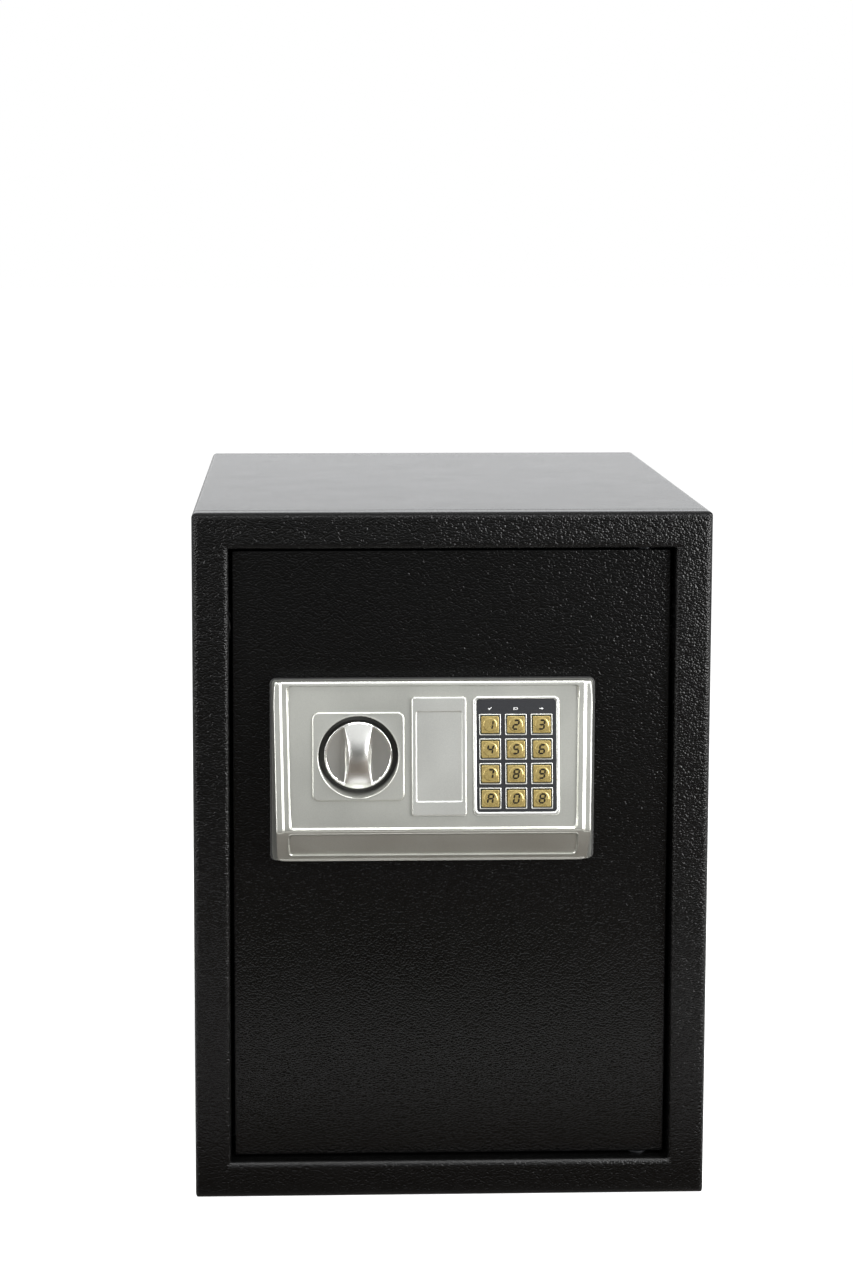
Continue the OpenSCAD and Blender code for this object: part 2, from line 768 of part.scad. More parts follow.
// Knob: a disc with a finger hollow on each side of an arched grip
module knob() color(silver_c) in_frame() translate([knob_x, 0, controls_z]) difference() {
  union() {
    rod_y(0, 0, knob_r, knob_front + 0.5, knob_rear);
    rod_y(0, 0, knob_r - 0.4, knob_front, knob_front + 0.5);
    // the arch rises from rim to rim, and falls off to both sides of its crest
    intersection() {
      rod_y(0, 0, knob_r - 0.4, -reach, knob_front + 1);
      rod_x(knob_front - grip_rise + arch_r, 0, arch_r, -knob_r, knob_r);
      rod_z(0, knob_front - grip_rise + crest_r, crest_r, -knob_r, knob_r);
    }
  }
  for (s = [-1, 1]) intersection() {
    rod_y(s * (grip_waist + scoop_r), 0, scoop_r, -reach, reach);
    rod_y(0, 0, knob_r - knob_rim_w, -reach, reach);
    rod_z(s * hollow_x, knob_front + hollow_depth - hollow_r, hollow_r, -reach, reach);
  }
  rod_y(0, 0, shaft_r, knob_front - shaft_in, knob_rear + 1);
}

module knob_shaft() color(steel_c) in_frame() rod_y(knob_x, controls_z, shaft_r, knob_front - shaft_in, crank_y + crank_t);

module knob_bush() color(steel_c) in_frame() difference() {
  union() {
    rod_y(knob_x, controls_z, shaft_r + 3, band_y, door_back);
    rod_y(knob_x, controls_z, shaft_r + 5, door_back, door_back + 1.2);
  }
  rod_y(knob_x, controls_z, shaft_r + running_play, band_y - 1, door_back + 2);
}

module crank() color(steel_c) in_frame() translate([knob_x, 0, controls_z]) {
  along_y(crank_y, crank_y + crank_t) difference() {
    union() {
      circle(r = shaft_r + 3);
      rotate(45) translate([0, -4.5]) square([crank_r, 9]);
      rotate(45) translate([crank_r, 0]) circle(r = 4.5);
    }
    circle(r = shaft_r);
  }
  rotate([0, -45, 0]) rod_y(crank_r, 0, crank_pin_r, crank_y, carriage_y + carriage_t + 1);
}

// Carriage: spine with a flange for the bolts, a lobe for the crank pin and a tab for the plunger
module bolt_carriage() color(steel_c) in_frame() difference() {
  union() {
    along_y(carriage_y, carriage_y + carriage_t) {
      translate([flange_x, controls_z - bolt_apart - 11]) square([spine_w, 2 * bolt_apart + 22]);
      translate([flange_x, controls_z - 8]) square([knob_x + bolt_throw / 2 + 9.5 - flange_x, 31]);
      translate([knob_x, controls_z + 5.4]) square([plunger_x + plunger_r + tab_gap + tab_w - knob_x, 6]);
      translate([plunger_x + plunger_r + tab_gap, controls_z + 5.4]) square([tab_w, plunger_low - controls_z - tab_gap - 5.4]);
    }
    block(flange_x, flange_x + carriage_t, carriage_y, bolt_y + 11, controls_z - bolt_apart - 11, controls_z + bolt_apart + 11);
  }
  // slot that the crank pin drives
  along_y(carriage_y - 1, carriage_y + carriage_t + 1)
    translate([knob_x + bolt_throw / 2 - crank_pin_r - slot_play, controls_z + bolt_throw / 2 - crank_pin_r - slot_play])
      square([2 * (crank_pin_r + slot_play), crank_r - bolt_throw / 2 + 2 * (crank_pin_r + slot_play)]);
  // slots over the two posts
  for (s = [-1, 1])
    along_y(carriage_y - 1, carriage_y + carriage_t + 1) translate([post_x, controls_z + s * post_up]) {
      circle(r = post_r + seat_play);
      translate([0, -post_r - seat_play]) square([bolt_throw, 2 * (post_r + seat_play)]);
      translate([bolt_throw, 0]) circle(r = post_r + seat_play);
    }
  for (s = [-1, 1])
    rod_x(bolt_y, controls_z + s * bolt_apart, stud_r, flange_x - 1, flange_x + carriage_t + 1);
}

module locking_bolts() color(steel_c) in_frame() {
  for (s = [-1, 1]) {
    z = controls_z + s * bolt_apart;
    rod_x(bolt_y, z, bolt_r, bolt_end_x + 1.5, flange_x);
    rod_x(bolt_y, z, bolt_r - 1.5, bolt_end_x, bolt_end_x + 1.5);
    rod_x(bolt_y, z, stud_r, flange_x, flange_x + carriage_t + bolt_nut_t + 1.5);
  }
}

module bolt_nuts() color(steel_c) in_frame() {
  for (s = [-1, 1])
    along_x(flange_x + carriage_t, flange_x + carriage_t + bolt_nut_t) translate([bolt_y, controls_z + s * bolt_apart]) difference() {
      rotate(30) circle(r = bolt_nut_flats / 2 / cos(30), $fn = 6);
      circle(r = stud_r);
    }
}

module bolt_guides() color(steel_c) in_frame() {
  for (s = [-1, 1]) difference() {
    z = controls_z + s * bolt_apart;
    block(guide_x, guide_x + guide_w, door_back, door_back + guide_d, z - guide_h / 2, z + guide_h / 2);
    rod_x(bolt_y, z, bolt_r + running_play, guide_x - 1, guide_x + guide_w + 1);
  }
}

module carriage_posts() color(steel_c) in_frame() {
  for (s = [-1, 1]) {
    z = controls_z + s * post_up;
    rod_y(post_x, z, post_r + 2, door_back, carriage_y - seat_play);
    rod_y(post_x, z, post_r, door_back, carriage_y + carriage_t + 1);
    rod_y(post_x, z, post_head_r, carriage_y + carriage_t + seat_play, carriage_y + carriage_t + 2.6);
  }
}

// Solenoid that locks the carriage
module solenoid_frame() color(steel_c) in_frame() difference() {
  union() {
    block(plunger_x - 13, plunger_x + 13, door_back, door_back + coil_plate, coil_low, coil_low + coil_h);
    for (z = [coil_low, coil_low + coil_h - coil_plate])
      block(plunger_x - 13, plunger_x + 13, door_back, door_back + 16.5, z, z + coil_plate);
  }
  rod_z(plunger_x, plunger_y, plunger_r + 0.5, coil_low - 1, coil_low + coil_h + 1);
}

module solenoid_coil() color(copper_c) in_frame() difference() {
  rod_z(plunger_x, plunger_y, coil_r, coil_low + coil_plate, coil_low + coil_h - coil_plate);
  rod_z(plunger_x, plunger_y, plunger_r + running_play, coil_low, coil_low + coil_h);
}

module plunger() color(steel_c) in_frame() {
  rod_z(plunger_x, plunger_y, plunger_r, plunger_low, plunger_low + plunger_len);
  rod_z(plunger_x, plunger_y, collar_r, collar_z, collar_z + collar_t);
}

// A square wire's section, seen from above, is a long piece of a ring: turned as it rises, it makes the coil
module plunger_spring() color(steel_c) in_frame() {
  inner = plunger_r + 0.8;
  outer = inner + spring_wire;
  span = 360 * spring_turns * spring_wire / (coil_low - collar_z - collar_t);
  translate([plunger_x, plunger_y, collar_z + collar_t])
    linear_extrude(coil_low - collar_z - collar_t, twist = -360 * spring_turns, slices = 24 * spring_turns)
      polygon(concat(
        [for (i = [0:spring_steps]) outer * [cos(span * i / spring_steps), sin(span * i / spring_steps)]],
        [for (i = [spring_steps:-1:0]) inner * [cos(span * i / spring_steps), sin(span * i / spring_steps)]]
      ));
}

// Inner cover
module inner_cover() color(dark_c) in_frame() difference() {
  union() {
    along_y(door_back, box_back) translate([(box_left + box_right) / 2, (box_low + box_top) / 2])
      rounded(box_right - box_left, box_top - box_low, box_r);
    for (z = [[box_low - box_lip, box_low + 1], [box_top - 1, box_top + box_lip]])
      block(box_left + box_r, box_right - box_r, door_back, door_back + box_t, z[0], z[1]);
    // rails that hold the battery lid
    for (s = [-1, 1]) {
      edge_z = battery_z + s * (lid_h / 2 + seat_play);
      wall_z = edge_z + s * 2.5;
      lip_z = edge_z - s * rail_over;
      block(battery_x - lid_w / 2, battery_x + lid_w / 2 - 4, box_back, box_back + lid_t + 2 * seat_play + rail_t,
            min(edge_z, wall_z), max(edge_z, wall_z));
      block(battery_x - lid_w / 2, battery_x + lid_w / 2 - 4, box_back + lid_t + 2 * seat_play,
            box_back + lid_t + 2 * seat_play + rail_t, min(lip_z, wall_z), max(lip_z, wall_z));
    }
  }
  along_y(door_back - 1, box_back - box_t) translate([(box_left + box_right) / 2, (box_low + box_top) / 2])
    rounded(box_right - box_left - 2 * box_t, box_top - box_low - 2 * box_t, box_r - box_t);
  for (s = [-1, 1]) {
    z = controls_z + s * bolt_apart;
    rod_x(bolt_y, z, bolt_r + 1, box_left - 1, box_left + box_t + 1);
    block(box_left - 1, box_left + box_t + 1, door_back - 1, bolt_y, z - bolt_r - 1, z + bolt_r + 1);
  }
  along_y(box_back - box_t - 1, box_back + 1) translate([battery_x, battery_z]) square([battery_w, battery_h], center = true);
  rod_y(reset_x, reset_z, reset_r + 0.2, box_back - box_t - 1, box_back + 1);
  for (x = box_screw_x, z = [box_low - box_lip / 2, box_top + box_lip / 2])
    rod_y(x, z, screw_r + seat_play, door_back - 1, door_back + box_t + 1);
}

module cover_screws() color(steel_c) in_frame() {
  for (x = box_screw_x, z = [box_low - box_lip / 2, box_top + box_lip / 2]) {
    rod_y(x, z, screw_r, door_back - 3, door_back + box_t);
    rod_y(x, z, screw_r * 1.9, door_back + box_t, door_back + box_t + 2.2);
  }
}

module battery_box() color(dark_c) in_frame() translate([battery_x, 0, battery_z]) difference() {
  along_y(box_back - battery_d, box_back) square([battery_w, battery_h], center = true);
  along_y(box_back - battery_d + battery_wall, box_back + 1)
    square([battery_w - 2 * battery_wall, battery_h - 2 * battery_wall], center = true);
}

cell_y = box_back - battery_d + battery_wall + cell_r;

module battery_cells() color([0.75, 0.55, 0.15]) in_frame() {
  for (i = [0:3]) {
    s = i % 2 == 0 ? 1 : -1;
    z = battery_z + (i - 1.5) * cell_pitch;
    rod_x(cell_y, z, cell_r, battery_x - cell_len / 2 + (s < 0 ? 1 : 0), battery_x + cell_len / 2 - (s > 0 ? 1 : 0));
    rod_x(cell_y, z, 2.7, battery_x + (s > 0 ? cell_len / 2 - 1 : -cell_len / 2), battery_x + (s > 0 ? cell_len / 2 : -cell_len / 2 + 1));
  }
}

module battery_contacts() color(steel_c) in_frame() {
  for (side = [-1, 1], pair = [-1, 1]) {
    end_x = battery_x + side * (battery_w / 2 - battery_wall);
    plate_x = end_x - side * 0.5;
    cell_x = battery_x + side * cell_len / 2;
    z = battery_z + pair * cell_pitch;
    block(min(end_x, plate_x), max(end_x, plate_x), cell_y - 5, cell_y + 5, z - 13, z + 13);
    for (s = [-1, 1])
      rod_x(cell_y, z + s * cell_pitch / 2, 2.4, min(plate_x, cell_x), max(plate_x, cell_x));
  }
}

module battery_lid() color(dark_c) in_frame() translate([battery_x, 0, battery_z]) {
  along_y(box_back + seat_play, box_back + lid_t + seat_play) square([lid_w, lid_h], center = true);
  for (i = [-2:2])
    block(lid_w / 2 - 14 + i * 3, lid_w / 2 - 12.8 + i * 3, box_back + lid_t + seat_play, box_back + lid_t + 1.2, -14, 14);
}

module reset_switch() color(dark_c) in_frame() {
  rod_y(reset_x, reset_z, 6, door_back, box_back - box_t - 5.2);
}

module reset_button() color([0.7, 0.1, 0.1]) in_frame() {
  rod_y(reset_x, reset_z, reset_r, box_back - box_t - 3.4, box_back + reset_travel);
  rod_y(reset_x, reset_z, reset_r + 1.5, box_back - box_t - 1.3, box_back - box_t - 0.1);
}

body_wrap();
front_frame();
back_panel();
hinge_bushes();
shelf_ledges();
floor_mat();
shelf();
door_panel();
hinge_blocks();
hinge_pins();
panel_band();
fascia();
fascia_screws();
keypad_overlay();
key_surrounds();
indicator_lights();
keypad_board();
lock_barrel();
lock_nut();
knob_bush();
bolt_guides();
carriage_posts();
solenoid_frame();
solenoid_coil();
plunger_spring();
inner_cover();
cover_screws();
battery_box();
battery_cells();
battery_contacts();
reset_switch();
knob();
knob_shaft();
crank();
bolt_carriage();
locking_bolts();
bolt_nuts();
plunger();
key_1();
key_2();
key_3();
key_4();
key_5();
key_6();
key_7();
key_8();
key_9();
key_a();
key_0();
key_b();
override_cover();
lock_plug();
lock_cam();
battery_lid();
reset_button();
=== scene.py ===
"""Electronic safe: what the camera sees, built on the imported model. Shapes are computed in millimetres, with
depth counted from the plane of the front frame as in the construction, and turned to metres on the way in."""

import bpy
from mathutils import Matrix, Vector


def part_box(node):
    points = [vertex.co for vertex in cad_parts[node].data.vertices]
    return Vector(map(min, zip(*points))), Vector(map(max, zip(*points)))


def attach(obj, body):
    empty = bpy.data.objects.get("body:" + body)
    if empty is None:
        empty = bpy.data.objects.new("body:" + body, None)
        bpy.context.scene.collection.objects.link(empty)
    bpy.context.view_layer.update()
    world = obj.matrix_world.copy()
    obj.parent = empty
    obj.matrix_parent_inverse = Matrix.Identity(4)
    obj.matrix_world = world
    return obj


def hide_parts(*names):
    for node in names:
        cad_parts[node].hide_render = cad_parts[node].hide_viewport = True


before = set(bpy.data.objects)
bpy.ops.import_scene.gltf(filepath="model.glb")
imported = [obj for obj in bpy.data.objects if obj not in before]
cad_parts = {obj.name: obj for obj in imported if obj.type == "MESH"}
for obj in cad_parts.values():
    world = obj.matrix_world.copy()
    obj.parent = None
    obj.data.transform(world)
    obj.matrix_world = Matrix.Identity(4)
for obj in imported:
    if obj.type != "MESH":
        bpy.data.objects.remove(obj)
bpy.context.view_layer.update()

import math

import bpy
import numpy as np

# Camera: a short telephoto a little left of the safe and above it, tilted down slightly, with the lens
# shifted so that the safe stands low in a tall white picture.
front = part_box("front_frame")[0].y
lens = bpy.data.cameras.new("camera")
lens.lens, lens.sensor_width = 58.28, 36
lens.shift_x, lens.shift_y = 0.06, -0.19
lens.clip_start, lens.clip_end = 0.05, 60
camera = bpy.data.objects.new("camera", lens)
camera.location = (-0.1005, front - 1.3697, 0.6776)
camera.rotation_euler = (math.radians(84.797), 0, math.radians(-1.311))
bpy.context.collection.objects.link(camera)
bpy.context.scene.camera = camera
bpy.context.scene.view_settings.view_transform = "Standard"


# Studio: a white sweep behind and below, two soft boxes at the sides and one above. What the camera sees
# directly is white. What a glossy surface mirrors runs from the backdrop behind the safe to a room on the
# camera's side that is dim at the horizon, over a floor that is brown but for a pale strip before the safe.
def linear(code):
    """sRGB hex to linear light: c / 12.92 up to 0.04045, above it ((c + 0.055) / 1.055)^2.4."""
    parts = [int(code[i : i + 2], 16) / 255 for i in (1, 3, 5)]
    return (*(c / 12.92 if c <= 0.04045 else ((c + 0.055) / 1.055) ** 2.4 for c in parts), 1.0)


def add(tree, kind, inputs=(), **settings):
    """Adds one shader node. Settings are its own properties; an input that is a socket is linked, else set."""
    node = tree.nodes.new("ShaderNode" + kind)
    for key, value in settings.items():
        setattr(node, key, value)
    for key, value in dict(inputs).items():
        if isinstance(value, bpy.types.NodeSocket):
            tree.links.new(value, node.inputs[key])
        else:
            node.inputs[key].default_value = value
    return node


def lamp(name, place, target, size, watts):
    """Soft box of size (width, height) in metres that faces its target."""
    light = bpy.data.lights.new(name, "AREA")
    light.shape = "RECTANGLE"
    light.size, light.size_y = size
    light.energy = watts
    held = bpy.data.objects.new(name, light)
    held.location = place
    away = np.array(place, float) - np.array(target, float)
    tilt = math.atan2(math.hypot(away[0], away[1]), away[2])
    held.rotation_euler = (tilt, 0, math.atan2(away[0], -away[1]))
    bpy.context.collection.objects.link(held)


world = bpy.data.worlds.new("studio")
world.use_nodes = True
sky = world.node_tree
sky.nodes.clear()
path = add(sky, "LightPath")
heading = add(sky, "SeparateXYZ", {0: add(sky, "TexCoord").outputs["Generated"]})
horizon, above, backdrop, rightward = 0.27, 0.92, 1.24, 0.10
upwards = {"From Min": 0.0, "From Max": 0.26, "To Min": horizon, "To Max": above}
ahead = add(sky, "MapRange", {"Value": heading.outputs["Z"], **upwards})
backwards = {"From Min": -0.3, "From Max": 0.5, "To Min": ahead.outputs[0], "To Max": backdrop}
behind = add(sky, "MapRange", {"Value": heading.outputs["Y"], **backwards})
skewed = {0: heading.outputs["X"], 1: rightward, 2: behind.outputs["Result"]}
aside = add(sky, "Math", skewed, operation="MULTIPLY_ADD")
room = add(sky, "Background", {"Color": (0.98, 0.99, 1.0, 1.0), "Strength": aside.outputs[0]})
fill = add(sky, "Background", {"Color": (1.0, 1.0, 1.0, 1.0), "Strength": 0.42})
seen = add(sky, "Background", {"Color": (1.0, 1.0, 1.0, 1.0), "Strength": 1.0})
lit = add(sky, "MixShader", {0: path.outputs["Is Glossy Ray"], 1: fill.outputs[0], 2: room.outputs[0]})
shown = add(sky, "MixShader", {0: path.outputs["Is Camera Ray"], 1: lit.outputs[0], 2: seen.outputs[0]})
add(sky, "OutputWorld", {0: shown.outputs[0]})
bpy.context.scene.world = world

sweep = bpy.data.meshes.new("sweep")
sweep.from_pydata([(-14, -10, 0), (14, -10, 0), (14, 16, 0), (-14, 16, 0)], [], [(0, 1, 2, 3)])
floor = bpy.data.objects.new("sweep", sweep)
bpy.context.collection.objects.link(floor)
sheet = bpy.data.materials.new("sweep")
sheet.use_nodes = True
tree = sheet.node_tree
tree.nodes.clear()
path = add(tree, "LightPath")
white = add(tree, "BsdfDiffuse", {"Color": (0.8, 0.8, 0.8, 1.0)})
lift = add(tree, "AddShader", {0: white.outputs[0], 1: add(tree, "Emission", {"Strength": 0.68}).outputs[0]})
# By distance before the front: the pale strip's far and near ends, the sheet beside the safe, the room. The
# brown between the strip and the front is partly painted shade: for mirrored and bounced rays it stands in for
# the safe's own shade on the floor at its foot.
ahead = add(tree, "SeparateXYZ", {0: add(tree, "TexCoord").outputs["Object"]}).outputs["Y"]
starts = add(tree, "MapRange", {"Value": ahead, "From Min": front - 0.27, "From Max": front - 0.20})
stops = add(tree, "MapRange", {"Value": ahead, "From Min": front - 0.10, "From Max": front - 0.14})
beside = add(tree, "MapRange", {"Value": ahead, "From Min": front - 0.01, "From Max": front + 0.03})
strip = {0: starts.outputs[0], 1: stops.outputs[0], 2: beside.outputs[0]}
zone = add(tree, "Math", strip, operation="MULTIPLY_ADD")
distant = add(tree, "MapRange", {"Value": ahead, "From Min": front - 0.6, "From Max": front - 0.9})
tone = add(tree, "Mix", {0: distant.outputs[0], 6: linear("#4b4137"), 7: linear("#6b6a67")}, data_type="RGBA")
brown = add(tree, "BsdfDiffuse", {"Color": tone.outputs[2]})
ground = add(tree, "MixShader", {0: zone.outputs[0], 1: brown.outputs[0], 2: white.outputs[0]})
both = add(tree, "MixShader", {0: path.outputs["Is Camera Ray"], 1: ground.outputs[0], 2: lift.outputs[0]})
add(tree, "OutputMaterial", {0: both.outputs[0]})
sweep.materials.append(sheet)

lamp("box_right", (1.05, front - 0.80, 0.62), (0.05, front, 0.36), (0.65, 0.95), 30)
lamp("box_left", (-1.15, front - 0.85, 0.60), (-0.05, front, 0.33), (0.45, 1.05), 12)
lamp("box_above", (0.1, front - 0.40, 1.75), (0, front + 0.05, 0.3), (1.4, 0.45), 20)

# A grey card on edge above the cabinet's front keeps the two side boxes off its top; no camera sees it.
card = bpy.data.meshes.new("card")
wide, low, high, back = 0.75, 0.4752, 0.72, front - 0.0005
corners = [(-wide, back, low), (wide, back, low), (wide, back, high), (-wide, back, high)]
card.from_pydata(corners, [], [(0, 1, 2, 3)])
flag = bpy.data.objects.new("card", card)
flag.visible_camera = False
flag.visible_diffuse = False
bpy.context.collection.objects.link(flag)
grey = bpy.data.materials.new("card_grey")
grey.use_nodes = True
tree = grey.node_tree
tree.nodes.clear()
glow = add(tree, "Emission", {"Color": (0.98, 0.99, 1.0, 1.0), "Strength": 0.6})
add(tree, "OutputMaterial", {0: glow.outputs[0]})
card.materials.append(grey)


# Cabinet: folded and welded steel sheet, powder coated black. The powder flows out into a leathery skin of
# low rounded cells 1.3 mm across, with a fainter grain between them; on level faces it lies smoother.
def finish(name, **inputs):
    """A material with a principled shader whose inputs are plain numbers; underscores stand for spaces."""
    made = bpy.data.materials.new(name)
    made.use_nodes = True
    shader = made.node_tree.nodes["Principled BSDF"]
    for key, value in inputs.items():
        shader.inputs[key.replace("_", " ")].default_value = value
    return made, made.node_tree, shader


def paint(material, *names):
    """Gives CAD nodes their finish."""
    for name in names:
        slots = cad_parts[name].data.materials
        slots.clear()
        slots.append(material)


def relief(tree, shader, height, depth, edge=0.0):
    """Bump of a depth in mm, over a bevel of a radius in mm that softens a folded or moulded edge."""
    bump = add(tree, "Bump", {"Height": height, "Distance": depth * 0.001})
    if edge:
        bevel = add(tree, "Bevel", {"Radius": edge * 0.001}, samples=6)
        tree.links.new(bevel.outputs[0], bump.inputs["Normal"])
    tree.links.new(bump.outputs[0], shader.inputs["Normal"])


def tint(tree, shader, factor, low, high):
    """Base colour low + factor (high - low), both linear."""
    mixed = add(tree, "Mix", {0: factor, 6: low, 7: high}, data_type="RGBA")
    tree.links.new(mixed.outputs[2], shader.inputs["Base Color"])


def gloss(tree, shader, cloud, low, high):
    """Roughness low + (high - low) (cloud - 0.3) / 0.4, held between low and high; cloud is a noise."""
    ends = {"From Min": 0.3, "From Max": 0.7, "To Min": low, "To Max": high}
    worn = add(tree, "MapRange", {"Value": cloud, **ends})
    tree.links.new(worn.outputs[0], shader.inputs["Roughness"])


def powder_coat(name, colour, grain, depth, edge, rough=0.34):
    """Height -0.8 d^2 + 0.5 noise, d the distance in a cell of `grain` mm; a quarter as deep on level faces.
    The colour goes from 0.6 of itself between the cells to 1.6 in their middles: painted light and shade of
    the grain, lighter crowns and darker hollows."""
    made, tree, shader = finish(name, Base_Color=linear(colour), Specular_IOR_Level=0.27)
    place = add(tree, "TexCoord")
    level = add(tree, "SeparateXYZ", {0: place.outputs["Normal"]}).outputs["Z"]
    calmer = {"From Min": 0.6, "From Max": 0.95, "To Min": 1.0, "To Max": 0.25}
    calm = add(tree, "MapRange", {"Value": level, **calmer}).outputs[0]
    place = place.outputs["Object"]
    cells = add(tree, "TexVoronoi", {"Vector": place, "Scale": 1000 / grain}, feature="F1")
    apart = cells.outputs["Distance"]
    domes = add(tree, "Math", {0: apart, 1: apart}, operation="MULTIPLY")
    wrinkles = add(tree, "TexNoise", {"Vector": place, "Scale": 700 / grain, "Detail": 1.0})
    lumps = add(tree, "Math", {0: wrinkles.outputs["Fac"], 1: 0.5}, operation="MULTIPLY")
    uneven = add(tree, "Math", {0: domes.outputs[0], 1: -0.8, 2: lumps.outputs[0]}, operation="MULTIPLY_ADD")
    broad = add(tree, "TexNoise", {"Vector": place, "Scale": 28.0, "Detail": 3.0})
    height = add(tree, "Math", {0: uneven.outputs[0], 1: calm}, operation="MULTIPLY")
    # Painted light and shade: the cells' crowns lighter, the hollows between them darker.
    low, high = (tuple(k * c for c in linear(colour)[:3]) + (1,) for k in (0.6, 1.6))
    raised = {"From Min": 0.1, "From Max": 0.6, "To Min": 1.0, "To Max": 0.0}
    crown = add(tree, "MapRange", {"Value": apart, **raised})
    tint(tree, shader, crown.outputs[0], low, high)
    gloss(tree, shader, broad.outputs["Fac"], rough - 0.01, rough + 0.01)
    relief(tree, shader, height.outputs[0], depth, edge)
    return made


paint(powder_coat("body_paint", "#080808", 1.3, 0.42, 3.2, 0.18), "body_wrap", "front_frame", "back_panel")
paint(powder_coat("inside_paint", "#141415", 1.3, 0.3, 0.5), "shelf_ledges", "shelf")

# Door: 4 mm steel plate with rounded corners and the same coating, laid on a little smoother, so that it
# mirrors the room more evenly than the frame does.
paint(powder_coat("door_paint", "#060606", 1.3, 0.31, 1.5, 0.18), "door_panel")

# Base band: a frame moulded in dark plastic with a fine grain, held between the silver shell and the door.
# It shows as a thin dark edge round the shell.
band, tree, shader = finish("dark_base", Roughness=0.5)
place = add(tree, "TexCoord").outputs["Object"]
grain = add(tree, "TexNoise", {"Vector": place, "Scale": 1600.0, "Detail": 3.0})
tint(tree, shader, grain.outputs["Fac"], linear("#2b2b2b"), linear("#3c3c3b"))
relief(tree, shader, grain.outputs["Fac"], 0.05, 0.5)
paint(band, "panel_band")


# Fascia: the moulded shell of the control panel, sprayed satin silver. A wedge in side view: a lower strip
# that faces down, a ridge, and a main face that leans back, sunk behind a rounded rim. A small lip runs
# round its foot. It is screwed to the door from behind.
def piece(name, points, faces, material, body, stands_for=(), sharp=50):
    """Mesh of points in mm (x, depth, z), smooth except where faces meet at more than `sharp` degrees."""
    mesh = bpy.data.meshes.new(name)
    places = np.asarray(points, float) * 0.001 + (0, front, 0)
    mesh.from_pydata(places.tolist(), [], [list(map(int, face)) for face in faces])
    mesh.shade_smooth()
    mesh.set_sharp_from_angle(angle=math.radians(sharp))
    mesh.materials.append(material)
    made = bpy.data.objects.new(name, mesh)
    bpy.context.collection.objects.link(made)
    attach(made, body)
    if stands_for:
        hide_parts(*stands_for)
    return made


def silver_paint(name, colour, metal, rough, bump=0.012):
    """Spray with fine metal flakes: each 0.3 mm cell has its own brightness, over a faint orange peel."""
    made, tree, shader = finish(name, Metallic=metal)
    place = add(tree, "TexCoord").outputs["Object"]
    flake = add(tree, "TexVoronoi", {"Vector": place, "Scale": 3300.0})
    peel = add(tree, "TexNoise", {"Vector": place, "Scale": 900.0, "Detail": 2.0})
    cloud = add(tree, "TexNoise", {"Vector": place, "Scale": 22.0, "Detail": 2.0})
    dark, light = (tuple(k * c for c in linear(colour)[:3]) + (1,) for k in (0.94, 1.05))
    tint(tree, shader, add(tree, "SeparateColor", {0: flake.outputs["Color"]}).outputs[0], dark, light)
    gloss(tree, shader, cloud.outputs["Fac"], rough - 0.03, rough + 0.05)
    relief(tree, shader, peel.outputs["Fac"], bump)
    return made


def front_depth(z, lower=0.0):
    """Side view: lines p and q of face and strip meet in (p + q)/2 + sqrt(((p - q)/2)^2 + 0.25^2)."""
    p = ridge_y + lower + (z - ridge_z) * math.tan(lean)
    q = ridge_y + (ridge_z - z) * strip_slope - lip_slope * np.maximum(lip_z - z, 0)
    return (p + q) / 2 + np.sqrt(((p - q) / 2) ** 2 + ridge_round**2)


def distance(x, z, half_x, half_z, radius):
    """Signed distance to a rounded rectangle: |max(q, 0)| + min(max(qx, qz), 0) - r, q = |p| - half + r."""
    qx, qz = np.abs(x) - half_x + radius, np.abs(z) - half_z + radius
    return np.hypot(np.maximum(qx, 0), np.maximum(qz, 0)) + np.minimum(np.maximum(qx, qz), 0) - radius


def step(t):
    """3t^2 - 2t^3 between 0 and 1."""
    t = np.clip(t, 0, 1)
    return t * t * (3 - 2 * t)


def belts(rows, columns, closed=True):
    """Quads between rows of points; a closed row joins its last point to its first."""
    i, j = np.meshgrid(np.arange(rows - 1), np.arange(columns if closed else columns - 1), indexing="ij")
    k = (j + 1) % columns
    quads = [i * columns + j, i * columns + k, (i + 1) * columns + k, (i + 1) * columns + j]
    return np.stack(quads, -1).reshape(-1, 4)


# The panel's middle, its controls' height, the face's depth there and its lean; then the ridge between face
# and strip, the strip's slope, the foot, the lip below the strip, and the controls' places across.
panel_x, controls_z, face_y = -13.0, 310.7, -6.087
lean = math.radians(8.0888)
up = math.cos(lean)
ridge_y, ridge_z, strip_slope, base_y = -15.0, 262.2, 0.6458, 5.0
lip_z, lip_slope, ridge_round = 238.2, 0.85, 0.25
knob_x, cover_x, keys_x = -63.5, -9.2, 42.5
# Half sizes about the middle: the foot's outline, with its corner, and the front's grid, lower at its top.
middle_z, corner = 298.5, 3.4
outline_half, grid_half, crest_half = np.array([108.7, 62.5]), np.array([105.8, 61.05]), 60.4
# Middle height, half sizes, corner and depth of the sunk face and the strip's field; then the side ledges.
sunk_z, sunk_half, sunk_corner, sunk_by = 310.5, (97.85, 47.5), 3.2, 2.02
field_z, field_half, field_corner, field_by, field_bead = 250.3, (97.5, 8.9), 3.0, 0.95, 0.2
ledge_x, ledge_run, ledge_drop, side_taper = 100.6, 2.4, 0.91, 0.0222
# Middle across and up the face, and half sizes, of the openings for knob, keypad, lock and clips.
holes = np.array([
    (knob_x - panel_x, 0, 28.4, 28.2),
    (keys_x - panel_x + 0.4, 0.4, 25.5, 36.5),
    (cover_x - panel_x, 0, 12, 12),
    (cover_x - panel_x, 32, 4.5, 1.1),
    (cover_x - panel_x, -32, 4.5, 1.1),
])


def thinned(*groups, gap=0.14):
    """Sorted values of all groups, without those closer than the gap to the one before."""
    values = np.unique(np.round(np.concatenate([np.ravel(group) for group in groups]), 3))
    return values[np.concatenate([[True], np.diff(values) > gap])]


